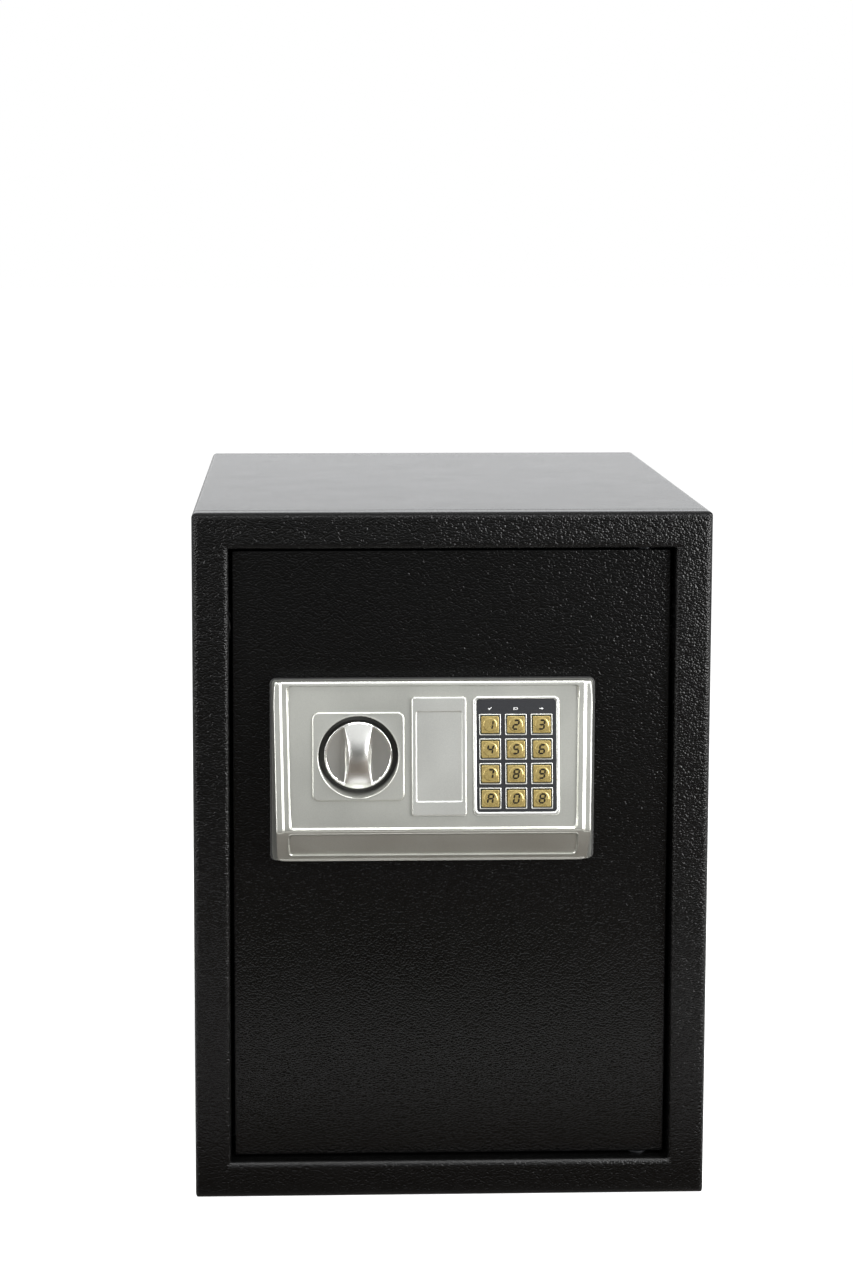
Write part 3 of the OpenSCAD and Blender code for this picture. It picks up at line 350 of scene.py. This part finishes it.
fine = np.concatenate(
    [np.arange(95.0, 99.3, 0.25), [94, 92], np.arange(100.2, 103.5, 0.3), [104.3, 105.2, 105.8]]
)
reach = np.array([0, 0.8])
columns = thinned(
    fine,
    -fine,
    *(h[0] - h[2] - reach for h in holes),
    *(h[0] + h[2] + reach for h in holes),
    np.arange(-90, 91, 7.5),
)
rows = thinned(
    *(level + np.arange(-1.2, 1.3, 0.2) for level in (241.4, 259.2, 263.6, 357.8)),
    np.arange(260.2, 263, 0.25),
    [lip_z - 0.4, lip_z, lip_z + 0.4],
    *(controls_z + up * (h[1] - h[3] - reach) for h in holes),
    *(controls_z + up * (h[1] + h[3] + reach) for h in holes),
    np.arange(270, 352, 7.5),
    [245, 250, 255],
    [middle_z - grid_half[1], middle_z + crest_half],
    gap=0.12,
)
rows = rows[(rows > middle_z - grid_half[1] - 0.01) & (rows < middle_z + crest_half + 0.01)]
a, z = np.meshgrid(columns, rows)
near = np.hypot(grid_half[0] - np.abs(a), np.minimum(z - middle_z + grid_half[1], middle_z + crest_half - z))
pull = 0.8 * np.exp(-((near / 3) ** 2))
a, z = a - np.sign(a) * pull, z - np.sign(z - middle_z) * pull
taper = side_taper * (np.maximum(z, ridge_z) - controls_z) * step((np.abs(a) - 84) / 8)
x = a + np.sign(a) * taper
on_ledge = step((np.abs(a) - ledge_x) / ledge_run)
depth = front_depth(z) * (1 - on_ledge) + front_depth(z, ledge_drop) * on_ledge
depth += sunk_by * step(-distance(a, z - sunk_z, *sunk_half, sunk_corner) / 0.75)
within = distance(x, z - field_z, *field_half, field_corner)
depth += field_by * step(-within / 0.7) - field_bead * np.exp(-(((within - 0.4) / 0.4) ** 2))
grid = np.stack([x + panel_x, depth, z], -1).reshape(-1, 3)
quads = belts(len(rows), len(columns), closed=False)
middle = (grid[quads].mean(1) - (panel_x, 0, controls_z)) / (1, 1, up)
open_at = [(np.abs(middle[:, 0] - h[0]) < h[2]) & (np.abs(middle[:, 2] - h[1]) < h[3]) for h in holes]
quads = quads[~np.any(open_at, 0)]

# The walls: each point of the grid's edge has a mate on the foot's outline, and rings run between them.
cell = np.arange(len(rows) * len(columns)).reshape(len(rows), len(columns))
loop = np.concatenate([cell[0], cell[1:, -1], cell[-1, -2::-1], cell[-2:0:-1, 0]])
flat = np.stack([a.ravel()[loop], z.ravel()[loop] - middle_z], -1)
edge = np.stack([np.full(len(flat), grid_half[0]), np.where(flat[:, 1] > 0, crest_half, grid_half[1])], -1)
mate = flat + np.sign(flat) * (outline_half - edge) * step((np.abs(flat) - edge + 8) / 7)
beyond = np.maximum(np.abs(mate) - outline_half + corner, 0)
turned = beyond.min(1) > 0
far = np.maximum(np.linalg.norm(beyond, axis=1), 0.001)[:, None]
arc = np.sign(mate) * (outline_half - corner + corner * beyond / far)
foot = np.where(turned[:, None], arc, mate) + (panel_x, middle_z)
head = grid[loop][:, [0, 2]]
face = grid[loop, 1]
width = np.linalg.norm(foot - head, axis=1)
# The rim is rounded by 0.62 of the wall's width, at most 1.1 mm at the sides, and by 0.93 of it on top.
level_rim = np.where(flat[:, 1] > 0, 0.93, 0.62) * width
rim = np.where(np.abs(flat[:, 0]) > 105, np.minimum(1.1, 0.62 * width), level_rim)
rings = []
for share in (0, 0.02, 0.5, 0.97, 1):
    ring = foot + (head - foot) * ((1 - rim / width) * share)[:, None]
    rings.append(np.insert(ring, 1, base_y + (face + rim - base_y) * share, axis=1))
for angle in np.radians([15, 30, 45, 60, 75]):
    ring = foot + (head - foot) * (1 - rim / width * math.cos(angle))[:, None]
    rings.append(np.insert(ring, 1, face + rim * (1 - math.sin(angle)), axis=1))
shell = np.concatenate([grid, *rings])
index = np.concatenate([np.arange(len(rings) * len(loop)) + len(grid), loop])
faces = np.concatenate([quads, index[belts(len(rings) + 1, len(loop))]])
silver = silver_paint("silver_shell", "#cbccc5", 0.88, 0.31)
fascia = piece("fascia_shell", shell, faces, silver, "door", ("fascia",))
# A wall of 1.6 mm, inwards from the outer skin.
thick = fascia.modifiers.new("wall", "SOLIDIFY")
thick.thickness, thick.offset = 0.0016, -1


# Plate and well: part of the fascia's moulding, sprayed with it. A raised square plate with rounded edges
# lies round a deep round well, in which the knob sits.
def rounded(width, height, radius, arc=7, side=0):
    """Rounded rectangle, anticlockwise from the front: arc points a corner and side points a straight."""
    points = []
    for turn in range(4):
        cx = (width / 2 - radius) * (1, -1, -1, 1)[turn]
        cz = (height / 2 - radius) * (1, 1, -1, -1)[turn]
        angles = (turn + (np.arange(arc) + 0.5) / arc) * math.pi / 2
        points += list(zip(cx + radius * np.cos(angles), cz + radius * np.sin(angles)))
        start, length = points[-1], (width if turn % 2 == 0 else height) - 2 * radius
        way = ((-1, 0), (0, -1), (1, 0), (0, 1))[turn]
        begin = ((cx, start[1]), (start[0], cz))[turn % 2]
        for k in range(side):
            share = (k + 0.5) / side * length
            points.append((begin[0] + way[0] * share, begin[1] + way[1] * share))
    return np.array(points)


def on_face(x, flat, out):
    """Points of the leaning main face: across from x, up the face, and out of it."""
    u = flat[:, 1]
    depth = face_y + u * math.sin(lean) - out * math.cos(lean)
    return np.stack([x + flat[:, 0], depth, controls_z + u * math.cos(lean) + out * math.sin(lean)], -1)


def before_face(x, flat, out):
    """Points at the face's depth, spread upright, so that a circle is round along the knob's axis."""
    depth = face_y + flat[:, 1] * math.tan(lean) - out / math.cos(lean)
    return np.stack([x + flat[:, 0], depth, controls_z + flat[:, 1]], -1)


def upright(x, flat, depth):
    """Points of an upright outline at one depth."""
    return np.stack([x + flat[:, 0], np.full(len(flat), depth), controls_z + flat[:, 1]], -1)


def circle_like(flat, radius):
    """Circle whose points lie in the same directions as those of another outline."""
    return flat / np.linalg.norm(flat, axis=1)[:, None] * radius


def fillet(start, end, steps=4):
    """Quarter turn from (inset, out) start to end, first outwards and then inwards."""
    inset, out = end[0] - start[0], end[1] - start[1]
    angles = np.linspace(0, math.pi / 2, steps + 1)[1:]
    return [(start[0] + inset * (1 - math.cos(a)), start[1] + out * math.sin(a)) for a in angles]


plate_w, plate_h, plate_corner, plate_out, bore, floor_y = 62, 59.4, 4.7, 1.4, 27.0, 3.5
outline = rounded(plate_w, plate_h, plate_corner, 8, 14)
rings = []
flat_top = [(1.2, plate_out), (2.4, plate_out)]
for inset, out in [(0, -0.4), (0, 0.5)] + fillet((0, 0.5), (0.9, plate_out)) + flat_top:
    flat = rounded(plate_w - 2 * inset, plate_h - 2 * inset, plate_corner - min(inset, 3), 8, 14)
    rings.append(on_face(knob_x, flat, out))
circle = circle_like(outline, 1.0)
for radius, out in ((28.2, plate_out), (27.9, 1.42), (27.65, 1.5), (27.35, 1.48), (27.1, 1.3), (bore, 1.0)):
    rings.append(before_face(knob_x, circle * radius, out))
wall_from = len(rings)
for share in (0.3, 0.65, 0.93, 1.0):
    ring = before_face(knob_x, circle * (bore - 0.1 * share), 1.0)
    ring[:, 1] += (floor_y - ring[:, 1]) * share
    rings.append(ring)
for radius, depth in ((26.3, floor_y), (12, floor_y), (5.6, floor_y), (5.5, 3.6), (5.5, 5.0)):
    rings.append(upright(knob_x, circle * radius, depth))
points, faces = np.concatenate(rings), belts(len(rings), len(outline))
well = piece("knob_well", points, faces, silver, "door")

# Painted shade in the well: silver at its mouth, going dark and losing its metal towards the floor, where the
# well lies in shade.
shade, tree, shader = finish("well_painted_shade", Roughness=0.4)
place = add(tree, "TexCoord").outputs["Object"]
inward = add(tree, "SeparateXYZ", {0: place}).outputs["Y"]
mouth_to_floor = {"From Min": front - 0.006, "From Max": front + 0.0045}
deep = add(tree, "MapRange", {"Value": inward, **mouth_to_floor}).outputs[0]
mist = add(tree, "TexNoise", {"Vector": place, "Scale": 1200.0, "Detail": 2.0})
tint(tree, shader, deep, linear("#c4c5bf"), linear("#2d2d2a"))
dulled_in_shade = add(tree, "MapRange", {"Value": deep, "To Min": 0.85, "To Max": 0.0})
tree.links.new(dulled_in_shade.outputs[0], shader.inputs["Metallic"])
relief(tree, shader, mist.outputs["Fac"], 0.012)
well.data.materials.append(shade)
in_well = (np.arange(len(rings) - 1) >= wall_from - 1).astype(int)
well.data.polygons.foreach_set("material_index", np.repeat(in_well, len(outline)))


# Knob: a moulded disc, sprayed silver, with two finger hollows and an arched grip between them, narrow at
# its waist. The grip's foot meets the hollows in a short curve, and the rim is rounded by 0.5 mm.
knob_r, rim_y, waist, grip_end, rise, pinch = 23.0, -4.0, 6.6, 9.3, 6.3, 0.0056
edge_r, hollow_r, wall_r, grip_r, blend = 0.5, 21.8, 21.75, 21.3, 0.35
foot_run, foot_power, foot_drop = 2.6, 2.2, 0.3
scoop_r = ((knob_r - 3) ** 2 + (grip_end - waist) ** 2) / (2 * (grip_end - waist))
around = 360
angle = (np.arange(around) + 0.5) / around * 2 * math.pi
across = np.abs(np.cos(angle))
centre = waist + scoop_r
under = (centre * across) ** 2 - (centre**2 - scoop_r**2)
grip = np.where(under > 0, centre * across - np.sqrt(np.maximum(under, 0)), 99.0)
grip = grip_r - np.log1p(np.exp(np.clip((grip_r - grip) / blend, -40, 60))) * blend
grip = np.clip(grip, 5.0, 21.2)
open_part = step((21.25 - grip) / 1.6)
rows = []


def crest(radius):
    """Height of the arch over the rim: a circle's arc from rim to rim times 1 - pinch x^2 across the grip."""
    x, z = radius * np.cos(angle), radius * np.sin(angle)
    arch = (knob_r**2 + rise**2) / (2 * rise)
    over = np.sqrt(arch**2 - np.minimum(z**2, knob_r**2)) - arch + rise
    return over * (1 - pinch * np.minimum(x**2, 90))


def hollow(radius):
    """Depth of a hollow under the rim at radius r: the less, rounded off, of its floor and its wall,
    0.4 + 0.09 (hollow_r - |x|) + 0.05 (hollow_r - r) and 0.2 + 3 (wall_r - r)."""
    x = np.abs(radius * np.cos(angle))
    plane = 0.4 + 0.09 * np.maximum(hollow_r - x, 0) + 0.05 * np.maximum(hollow_r - radius, 0)
    near_rim = 0.2 + 3.0 * np.maximum(wall_r - radius, 0)
    return (plane + near_rim) / 2 - np.sqrt(((plane - near_rim) / 2) ** 2 + 0.002)


def ring_at(radius, height):
    """Ring of the knob: radius and height over the rim for each angle."""
    radius, depth = np.broadcast_to(radius, angle.shape), np.broadcast_to(rim_y - height, angle.shape)
    return np.stack([knob_x + radius * np.cos(angle), depth, controls_z + radius * np.sin(angle)], -1)


for height in (-7.1, -1.0):
    rows.append(ring_at(knob_r, height))
for turned in np.radians([20, 45, 70]):
    rows.append(ring_at(knob_r - edge_r + edge_r * math.cos(turned), -edge_r + edge_r * math.sin(turned)))
for radius, drop in ((22.3, 0.0), (22.0, 0.02), (hollow_r, 0.2)):
    rows.append(ring_at(radius, crest(radius) * (1 - open_part) - drop * open_part))
foot = np.minimum(grip + foot_run * open_part, 21.6)
for share in (0.0, 0.02, 0.05, 0.1, 0.2, 0.35, 0.5, 0.65, 0.8, 0.9, 1.0):
    radius = 21.7 + (foot - 21.7) * share
    rows.append(ring_at(radius, (1 - open_part) * crest(radius) - open_part * hollow(radius)))
low = -hollow(foot)
for share in (0.15, 0.3, 0.45, 0.6, 0.75, 0.88, 1.0):
    radius = foot + (grip - foot) * share
    top = crest(grip) - foot_drop
    height = low + (top - low) * share**foot_power
    rows.append(ring_at(radius, (1 - open_part) * crest(radius) + open_part * height))
for inset, drop in ((0.07, 0.13), (0.2, 0.03), (0.45, 0.0), (1.0, 0.0)):
    radius = grip - inset
    rows.append(ring_at(radius, crest(radius) - drop * open_part))
for share in (0.85, 0.7, 0.55, 0.4, 0.25, 0.12, 0.04):
    radius = (grip - 1.0) * share
    rows.append(ring_at(radius, crest(radius)))
knob_paint = silver_paint("knob_silver", "#e2e2de", 0.95, 0.22, 0.003)
points, faces = np.concatenate(rows), [list(quad) for quad in belts(len(rows), around)]
faces += [list(range((len(rows) - 1) * around, len(rows) * around)), list(range(around))[::-1]]
knob = piece("turning_knob", points, faces, knob_paint, "knob", ("knob",), sharp=40)

# The side of the disc is dark grey grained plastic: painted shade for the dark gap between knob and well.
skirt, tree, shader = finish("knob_skirt_painted_shade", Roughness=0.45)
place = add(tree, "TexCoord").outputs["Object"]
grain = add(tree, "TexNoise", {"Vector": place, "Scale": 1400.0, "Detail": 2.0})
tint(tree, shader, grain.outputs["Fac"], linear("#2c2c2a"), linear("#454542"))
relief(tree, shader, grain.outputs["Fac"], 0.02)
knob.data.materials.append(skirt)
knob.data.polygons.foreach_set("material_index", (np.arange(len(faces)) < around).astype(int))


# Key cover and lock: a thin moulded plate with a sunk field, sprayed a little lighter than the shell. Two
# clips hold it over the round hole that leads to the lock.
def lofted(x, levels, material, name, body, stands_for=(), caps=(True, True), arc=7, extra=()):
    """Lofts levels of (width, height, radius, out, shift up the face), from outside at the back to inside."""
    points, faces = [], []
    for group in (levels, *extra):
        rings = []
        for width, height, radius, out, shift in group:
            flat = rounded(width, height, radius, arc) + (0, shift)
            rings.append(on_face(x, flat, out))
        count, start = len(rings[0]), sum(map(len, points))
        points.append(np.concatenate(rings))
        faces += [list(quad + start) for quad in belts(len(rings), count)]
        if caps[0]:
            faces.append([start + k for k in range(count)][::-1])
        if caps[1]:
            faces.append([start + (len(rings) - 1) * count + k for k in range(count)])
    return piece(name, np.concatenate(points), faces, material, body, stands_for, sharp=60)


cover_w, cover_h = 36.8, 79.4
levels = [(cover_w, cover_h, 2.0, 0.1, 0), (cover_w, cover_h, 2.0, 1.3, 0)]
levels += [
    (cover_w - 2 * i, cover_h - 2 * i, 2.0 - i * 0.8, out, 0) for i, out in fillet((0, 1.3), (0.9, 2.2))
]
levels += [
    (34.5, 77.1, 1.2, 2.2, 0), (31.8, 61.1, 1.3, 2.2, 0), (31.3, 60.6, 1.2, 2.2, 0),
    (30.9, 60.2, 1.0, 2.12, 0), (30.5, 59.8, 0.8, 1.7, 0), (30.1, 59.4, 0.8, 1.6, 0),
    (29.5, 58.8, 0.8, 1.6, 0)
]
clips = [[(8, 1.5, 0.4, -5, s * 32), (8, 1.5, 0.4, 0.2, s * 32)] for s in (-1, 1)]
cover_paint = silver_paint("cover_silver", "#cfd0cb", 0.86, 0.33)
lofted(
    cover_x, levels, cover_paint, "key_cover", "override_cover", ("override_cover",),
    extra=clips
)

outline = rounded(26.5, 26.5, 2.0, 8, 6)
circle = circle_like(outline, 1.0)
rings = [on_face(cover_x, outline, -0.3), on_face(cover_x, outline, 0.03)]
rings += [
    before_face(cover_x, circle * radius, out) for radius, out in ((12.2, 0.03), (11.9, -0.05), (11.7, -0.3))
]
rings.append(upright(cover_x, circle * 11.6, 4.9))
piece("lock_hole", np.concatenate(rings), belts(len(rings), len(outline)), silver, "door")


# Keypad: a moulded bezel, sprayed silver, round a dark printed film. A raised square frame, sprayed too,
# stands round each key.
bezel_w, bezel_h, bezel_corner, bead_half = 58.2, 79.8, 3.4, 1.15
levels = [(bezel_w, bezel_h, bezel_corner, out, 0) for out in (-0.4, 0.4)]
for turned in np.radians(np.arange(15, 181, 15)):
    i, out = bead_half * (1 - math.cos(turned)), 0.4 + 1.0 * math.sin(turned)
    levels.append((bezel_w - 2 * i, bezel_h - 2 * i, bezel_corner - i * 0.6, out, 0.16 * i))
levels.append((53.5, 75.1, 2.0, -0.6, 0.37))
bezel_paint = silver_paint("bezel_silver", "#d6d7d3", 0.85, 0.3)
lofted(keys_x + 0.4, levels, bezel_paint, "keypad_bezel", "door", caps=(False, False))

film, tree, shader = finish("overlay_dark", Roughness=0.45, Specular_IOR_Level=0.35)
place = add(tree, "TexCoord").outputs["Object"]
specks = add(tree, "TexNoise", {"Vector": place, "Scale": 2600.0, "Detail": 2.0})
speck = add(tree, "MapRange", {"Value": specks.outputs["Fac"], "From Min": 0.35, "From Max": 0.75})
tint(tree, shader, speck.outputs[0], linear("#17181b"), linear("#2b2c2f"))
relief(tree, shader, specks.outputs["Fac"], 0.02)
paint(film, "keypad_overlay")

frame_paint = silver_paint("surround_silver", "#d0d1cd", 0.75, 0.34)
key_columns, key_rows = (-17.4, 0, 17.4), [21.0 - 16.4 * k for k in range(4)]
# Width, height, corner and height over the face of a frame's rings, from outside at the back to inside.
section = [
    (14.6, 14.2, 0.5, 0.85), (14.6, 14.2, 0.5, 1.45), (14.3, 13.9, 0.45, 1.68), (13.9, 13.5, 0.4, 1.7),
    (13.5, 13.1, 0.4, 1.7), (13.25, 12.85, 0.35, 1.6), (13.15, 12.75, 0.35, 1.3), (13.1, 12.7, 0.35, 0.75),
]
points, faces = [], []
for row in key_rows:
    for column in key_columns:
        rings = []
        for width, height, radius, out in section:
            rings.append(on_face(keys_x + column, rounded(width, height, radius, 3) + (0, row), out))
        start = sum(map(len, points))
        points.append(np.concatenate(rings))
        faces += [list(quad + start) for quad in belts(len(rings), len(rings[0]))]
points = np.concatenate(points)
piece("key_frames", points, faces, frame_paint, "door", ("key_surrounds",), sharp=60)


# Keys: moulded caps, sprayed gold, that slide in the frames. Each has a round embossed dome with a
# seven-segment figure printed on it.
gold, tree, shader = finish("key_gold", Metallic=0.55)
place = add(tree, "TexCoord").outputs["Object"]
flake = add(tree, "TexVoronoi", {"Vector": place, "Scale": 2600.0})
patch = add(tree, "TexNoise", {"Vector": place, "Scale": 260.0, "Detail": 3.0})
bright = add(tree, "SeparateColor", {0: flake.outputs["Color"]}).outputs[0]
tint(tree, shader, bright, linear("#97834d"), linear("#ae9d66"))
gloss(tree, shader, patch.outputs["Fac"], 0.22, 0.34)
relief(tree, shader, flake.outputs["Distance"], 0.004)

ink, tree, shader = finish("figure_ink", Roughness=0.7, Specular_IOR_Level=0.15)
place = add(tree, "TexCoord").outputs["Object"]
wear = add(tree, "TexNoise", {"Vector": place, "Scale": 1800.0, "Detail": 2.0})
tint(tree, shader, wear.outputs["Fac"], linear("#0b0905"), linear("#18140d"))
segments = {
    "1": "bc", "2": "abged", "3": "abgcd", "4": "fgbc", "5": "afgcd", "6": "afgedc", "7": "abc",
    "8": "abcdefg", "9": "abcdfg", "a": "abcefg", "0": "abcdef", "b": "abcdefg",
}


def dome(radius):
    """Height of a key's top: 2.6 mm, and inside 4.9 mm a flat crown 0.3 mm higher with a rounded edge."""
    return 2.6 + 0.3 * step((4.95 - radius) / 0.9)


def segment(letter):
    """Six-cornered bar of a seven-segment figure, 3.4 mm by 6 mm, slanted by 0.18."""
    half_x, half_z, bar, gap = 1.65, 2.9, 0.58, 0.08
    if letter in "agd":
        z = {"a": half_z, "g": 0, "d": -half_z}[letter]
        ends = half_x - gap
        flat = [
            (-ends, z), (-ends + bar, z - bar), (ends - bar, z - bar), (ends, z), (ends - bar, z + bar),
            (-ends + bar, z + bar)
        ]
    else:
        x = half_x if letter in "bc" else -half_x
        low, high = (gap, half_z - gap) if letter in "bf" else (-half_z + gap, -gap)
        flat = [
            (x, low), (x + bar, low + bar), (x + bar, high - bar), (x, high), (x - bar, high - bar),
            (x - bar, low + bar)
        ]
    return np.array([(px + 0.18 * pz, pz) for px, pz in flat])


def printed(name, x, shift, outlines, material, body, height):
    """Thin raised print: each outline becomes a prism that follows the height under it."""
    points, faces = [], []
    for flat in outlines:
        count, start = len(flat), sum(map(len, points))
        for lift in (-0.05, 0.05):
            out = height(np.linalg.norm(flat, axis=1)) + lift
            points.append(on_face(x, flat + (0, shift), out))
        faces += [list(quad + start) for quad in belts(2, count)]
        faces.append([start + count + k for k in range(count)])
        faces.append([start + k for k in range(count)][::-1])
    return piece(name, np.concatenate(points), faces, material, body, sharp=30)


cap = (11.7, 11.3)
for number, label in enumerate("123456789a0b"):
    x, shift = keys_x + key_columns[number % 3], key_rows[number // 3]
    outline = rounded(*cap, 0.6, 5, 7)
    circle = circle_like(outline, 1.0)
    rings = [on_face(x, outline + (0, shift), -0.6)]
    for inset, out in [(0, 2.2)] + fillet((0, 2.2), (0.4, 2.6)) + [(0.5, 2.6)]:
        flat = rounded(cap[0] - 2 * inset, cap[1] - 2 * inset, 0.6 - inset / 2, 5, 7)
        rings.append(on_face(x, flat + (0, shift), out))
    for radius in (5.1, 4.98, 4.9, 4.8, 4.7, 4.6, 4.5, 4.4, 4.3, 4.2, 4.1, 4.0, 3.8, 2.0, 1.0):
        rings.append(on_face(x, circle * radius + (0, shift), float(dome(np.array(radius)))))
    count = len(outline)
    faces = [list(quad) for quad in belts(len(rings), count)]
    faces += [[(len(rings) - 1) * count + k for k in range(count)], list(range(count))[::-1]]
    key = "key_" + label
    piece("cap_" + label, np.concatenate(rings), faces, gold, key, (key,), sharp=60)
    printed("figure_" + label, x, shift, [segment(s) for s in segments[label]], ink, key, dome)

# Three small signs printed above the columns: a tick, a battery and an arrow.
print_white, tree, shader = finish("print_white", Roughness=0.5)
wear = add(tree, "TexNoise", {"Vector": add(tree, "TexCoord").outputs["Object"], "Scale": 1500.0})
tint(tree, shader, wear.outputs["Fac"], linear("#b9bab9"), linear("#e2e3e2"))


def oblong(left, low, right, high):
    """Rectangle between two corners, in mm about the sign's middle."""
    return np.array([(left, low), (right, low), (right, high), (left, high)])


def film_top(radius):
    """Height of the film's top over the face, 0.9 mm at every radius."""
    return np.full(len(radius), 0.9)


sign_shift = 31.6
signs = {
    "sign_tick": [
        np.array([(-1.3, 0.2), (-0.9, 0.55), (-0.35, -0.1), (1.0, 1.15), (1.35, 0.8), (-0.35, -0.9)])
    ],
    "sign_cell": [
        oblong(-1.5, -0.8, 1.2, -0.5), oblong(-1.5, 0.5, 1.2, 0.8), oblong(-1.5, -0.5, -1.2, 0.5),
        oblong(0.9, -0.5, 1.2, 0.5), oblong(1.25, -0.3, 1.6, 0.3), oblong(-1.0, -0.3, -0.5, 0.3),
    ],
    "sign_arrow": [oblong(-1.4, -0.25, 0.2, 0.25), np.array([(0.2, -0.9), (1.4, 0), (0.2, 0.9)])],
}
for column, (name, outlines) in zip(key_columns, signs.items()):
    printed(name, keys_x + column, sign_shift, outlines, print_white, "door", film_top)


# Hinge, bolts and boltwork: turned and pressed steel, zinc plated; the bolts and the plunger are turned
# bright, and the hinge's parts have gone dark.
def zinc(name, colour, rough, turned=0.0):
    """Zinc plate: cloudy crystals in colour and gloss; a turned piece has fine tool rings along x."""
    made, tree, shader = finish(name, Metallic=1.0)
    place = add(tree, "TexCoord").outputs["Object"]
    cloud = add(tree, "TexNoise", {"Vector": place, "Scale": 120.0, "Detail": 4.0})
    drawn = add(tree, "Mapping", {"Vector": place, "Scale": (1.0, 1.0, 18.0)}).outputs[0]
    scratch = add(tree, "TexNoise", {"Vector": drawn, "Scale": 300.0})
    dark = tuple(0.82 * c for c in linear(colour)[:3]) + (1,)
    crystal = add(tree, "MapRange", {"Value": cloud.outputs["Fac"], "From Min": 0.35, "From Max": 0.65})
    tint(tree, shader, crystal.outputs[0], dark, linear(colour))
    gloss(tree, shader, cloud.outputs["Fac"], rough - 0.06, rough + 0.08)
    height = scratch.outputs["Fac"]
    if turned:
        tool_rings = {"Vector": place, "Scale": 1000 / turned / 6.28, "Distortion": 0.4}
        height = add(tree, "TexWave", tool_rings, bands_direction="X").outputs["Fac"]
    relief(tree, shader, height, 0.01, 0.4)
    return made


plate = zinc("zinc_steel", "#b8bbbf", 0.36)
paint(zinc("hinge_steel", "#3a3b3d", 0.5), "hinge_bushes", "hinge_blocks", "hinge_pins")
paint(plate, "fascia_screws", "lock_barrel", "lock_nut", "knob_bush", "knob_shaft")
paint(
    plate, "bolt_guides", "carriage_posts", "solenoid_frame", "crank", "bolt_carriage", "bolt_nuts",
    "lock_cam", "cover_screws"
)
paint(zinc("bolt_steel", "#c9cbcd", 0.24, 0.5), "locking_bolts", "plunger", "plunger_spring", "lock_plug")
paint(zinc("contact_metal", "#cfcabf", 0.2), "battery_contacts")


# Inner cover and what is behind it: folded sheet in dark grey, a black battery box with a sliding lid, four
# cells, a red button, the coil and the circuit board.
def moulded(name, low, high, rough, scale=1500.0, depth=0.04):
    """Grained moulded plastic: colour and height follow one fine noise."""
    made, tree, shader = finish(name, Roughness=rough)
    place = add(tree, "TexCoord").outputs["Object"]
    grain = add(tree, "TexNoise", {"Vector": place, "Scale": scale, "Detail": 3.0})
    tint(tree, shader, grain.outputs["Fac"], linear(low), linear(high))
    relief(tree, shader, grain.outputs["Fac"], depth, 0.3)
    return made, tree, shader


paint(powder_coat("cover_grey", "#29292b", 1.2, 0.15, 0.5, 0.4), "inner_cover")
paint(moulded("battery_black", "#0e0e0f", "#1a1a1b", 0.45)[0], "battery_box", "battery_lid", "reset_switch")
paint(moulded("button_red", "#9b1512", "#b31e19", 0.3, 900.0, 0.01)[0], "reset_button")
paint(moulded("lamp", "#bfc4b8", "#d7dccf", 0.15, 700.0, 0.005)[0], "indicator_lights")

# A cell's wrap is gold for 13 mm to either side of its middle, 51 mm right of the safe's, and then black.
cells_x, gold_half = 0.051, 0.013
sleeve, tree, shader = moulded("cell_wrap", "#b08a3c", "#c79f4c", 0.3, 500.0, 0.004)
along = add(tree, "SeparateXYZ", {0: add(tree, "TexCoord").outputs["Object"]}).outputs["X"]
past_middle = add(tree, "Math", {0: along, 1: cells_x}, operation="SUBTRACT").outputs[0]
away = add(tree, "Math", {0: past_middle}, operation="ABSOLUTE").outputs[0]
dark_end = add(tree, "Math", {0: away, 1: gold_half}, operation="GREATER_THAN").outputs[0]
tint(tree, shader, dark_end, linear("#c79f4c"), linear("#161616"))
paint(sleeve, "battery_cells")

board, tree, shader = finish("board_green", Roughness=0.35)
place = add(tree, "TexCoord").outputs["Object"]
laid = add(tree, "Mapping", {"Vector": place, "Rotation": (1.5708, 0, 0)}).outputs[0]
green = {"Color1": linear("#1c5a35"), "Color2": linear("#1f6a3e"), "Mortar": linear("#2f8450")}
tracks = add(tree, "TexBrick", {"Vector": laid, "Scale": 260.0, **green})
tree.links.new(tracks.outputs["Color"], shader.inputs["Base Color"])
relief(tree, shader, tracks.outputs["Fac"], 0.03)
paint(board, "keypad_board")

coil, tree, shader = finish("coil_wire", Roughness=0.3, Metallic=0.6)
wire_pitch = 0.45
place = add(tree, "TexCoord").outputs["Object"]
wound = {"Vector": place, "Scale": 1000 / wire_pitch / 6.28, "Distortion": 0.3}
turns = add(tree, "TexWave", wound, bands_direction="Z")
# Painted light and shade: the colour darkens in the grooves between the wire's turns and lightens on their
# tops.
tint(tree, shader, turns.outputs["Fac"], linear("#5a2d12"), linear("#b06a34"))
relief(tree, shader, turns.outputs["Fac"], 0.12)
paint(coil, "solenoid_coil")

felt, tree, shader = finish("felt", Roughness=0.95, Sheen_Weight=0.4)
place = add(tree, "TexCoord").outputs["Object"]
fibres = add(tree, "TexNoise", {"Vector": place, "Scale": 700.0, "Detail": 5.0, "Distortion": 1.5})
clumps = add(tree, "TexNoise", {"Vector": place, "Scale": 60.0, "Detail": 3.0})
tint(tree, shader, clumps.outputs["Fac"], linear("#28282b"), linear("#3d3d41"))
relief(tree, shader, fibres.outputs["Fac"], 0.5)
paint(felt, "floor_mat")
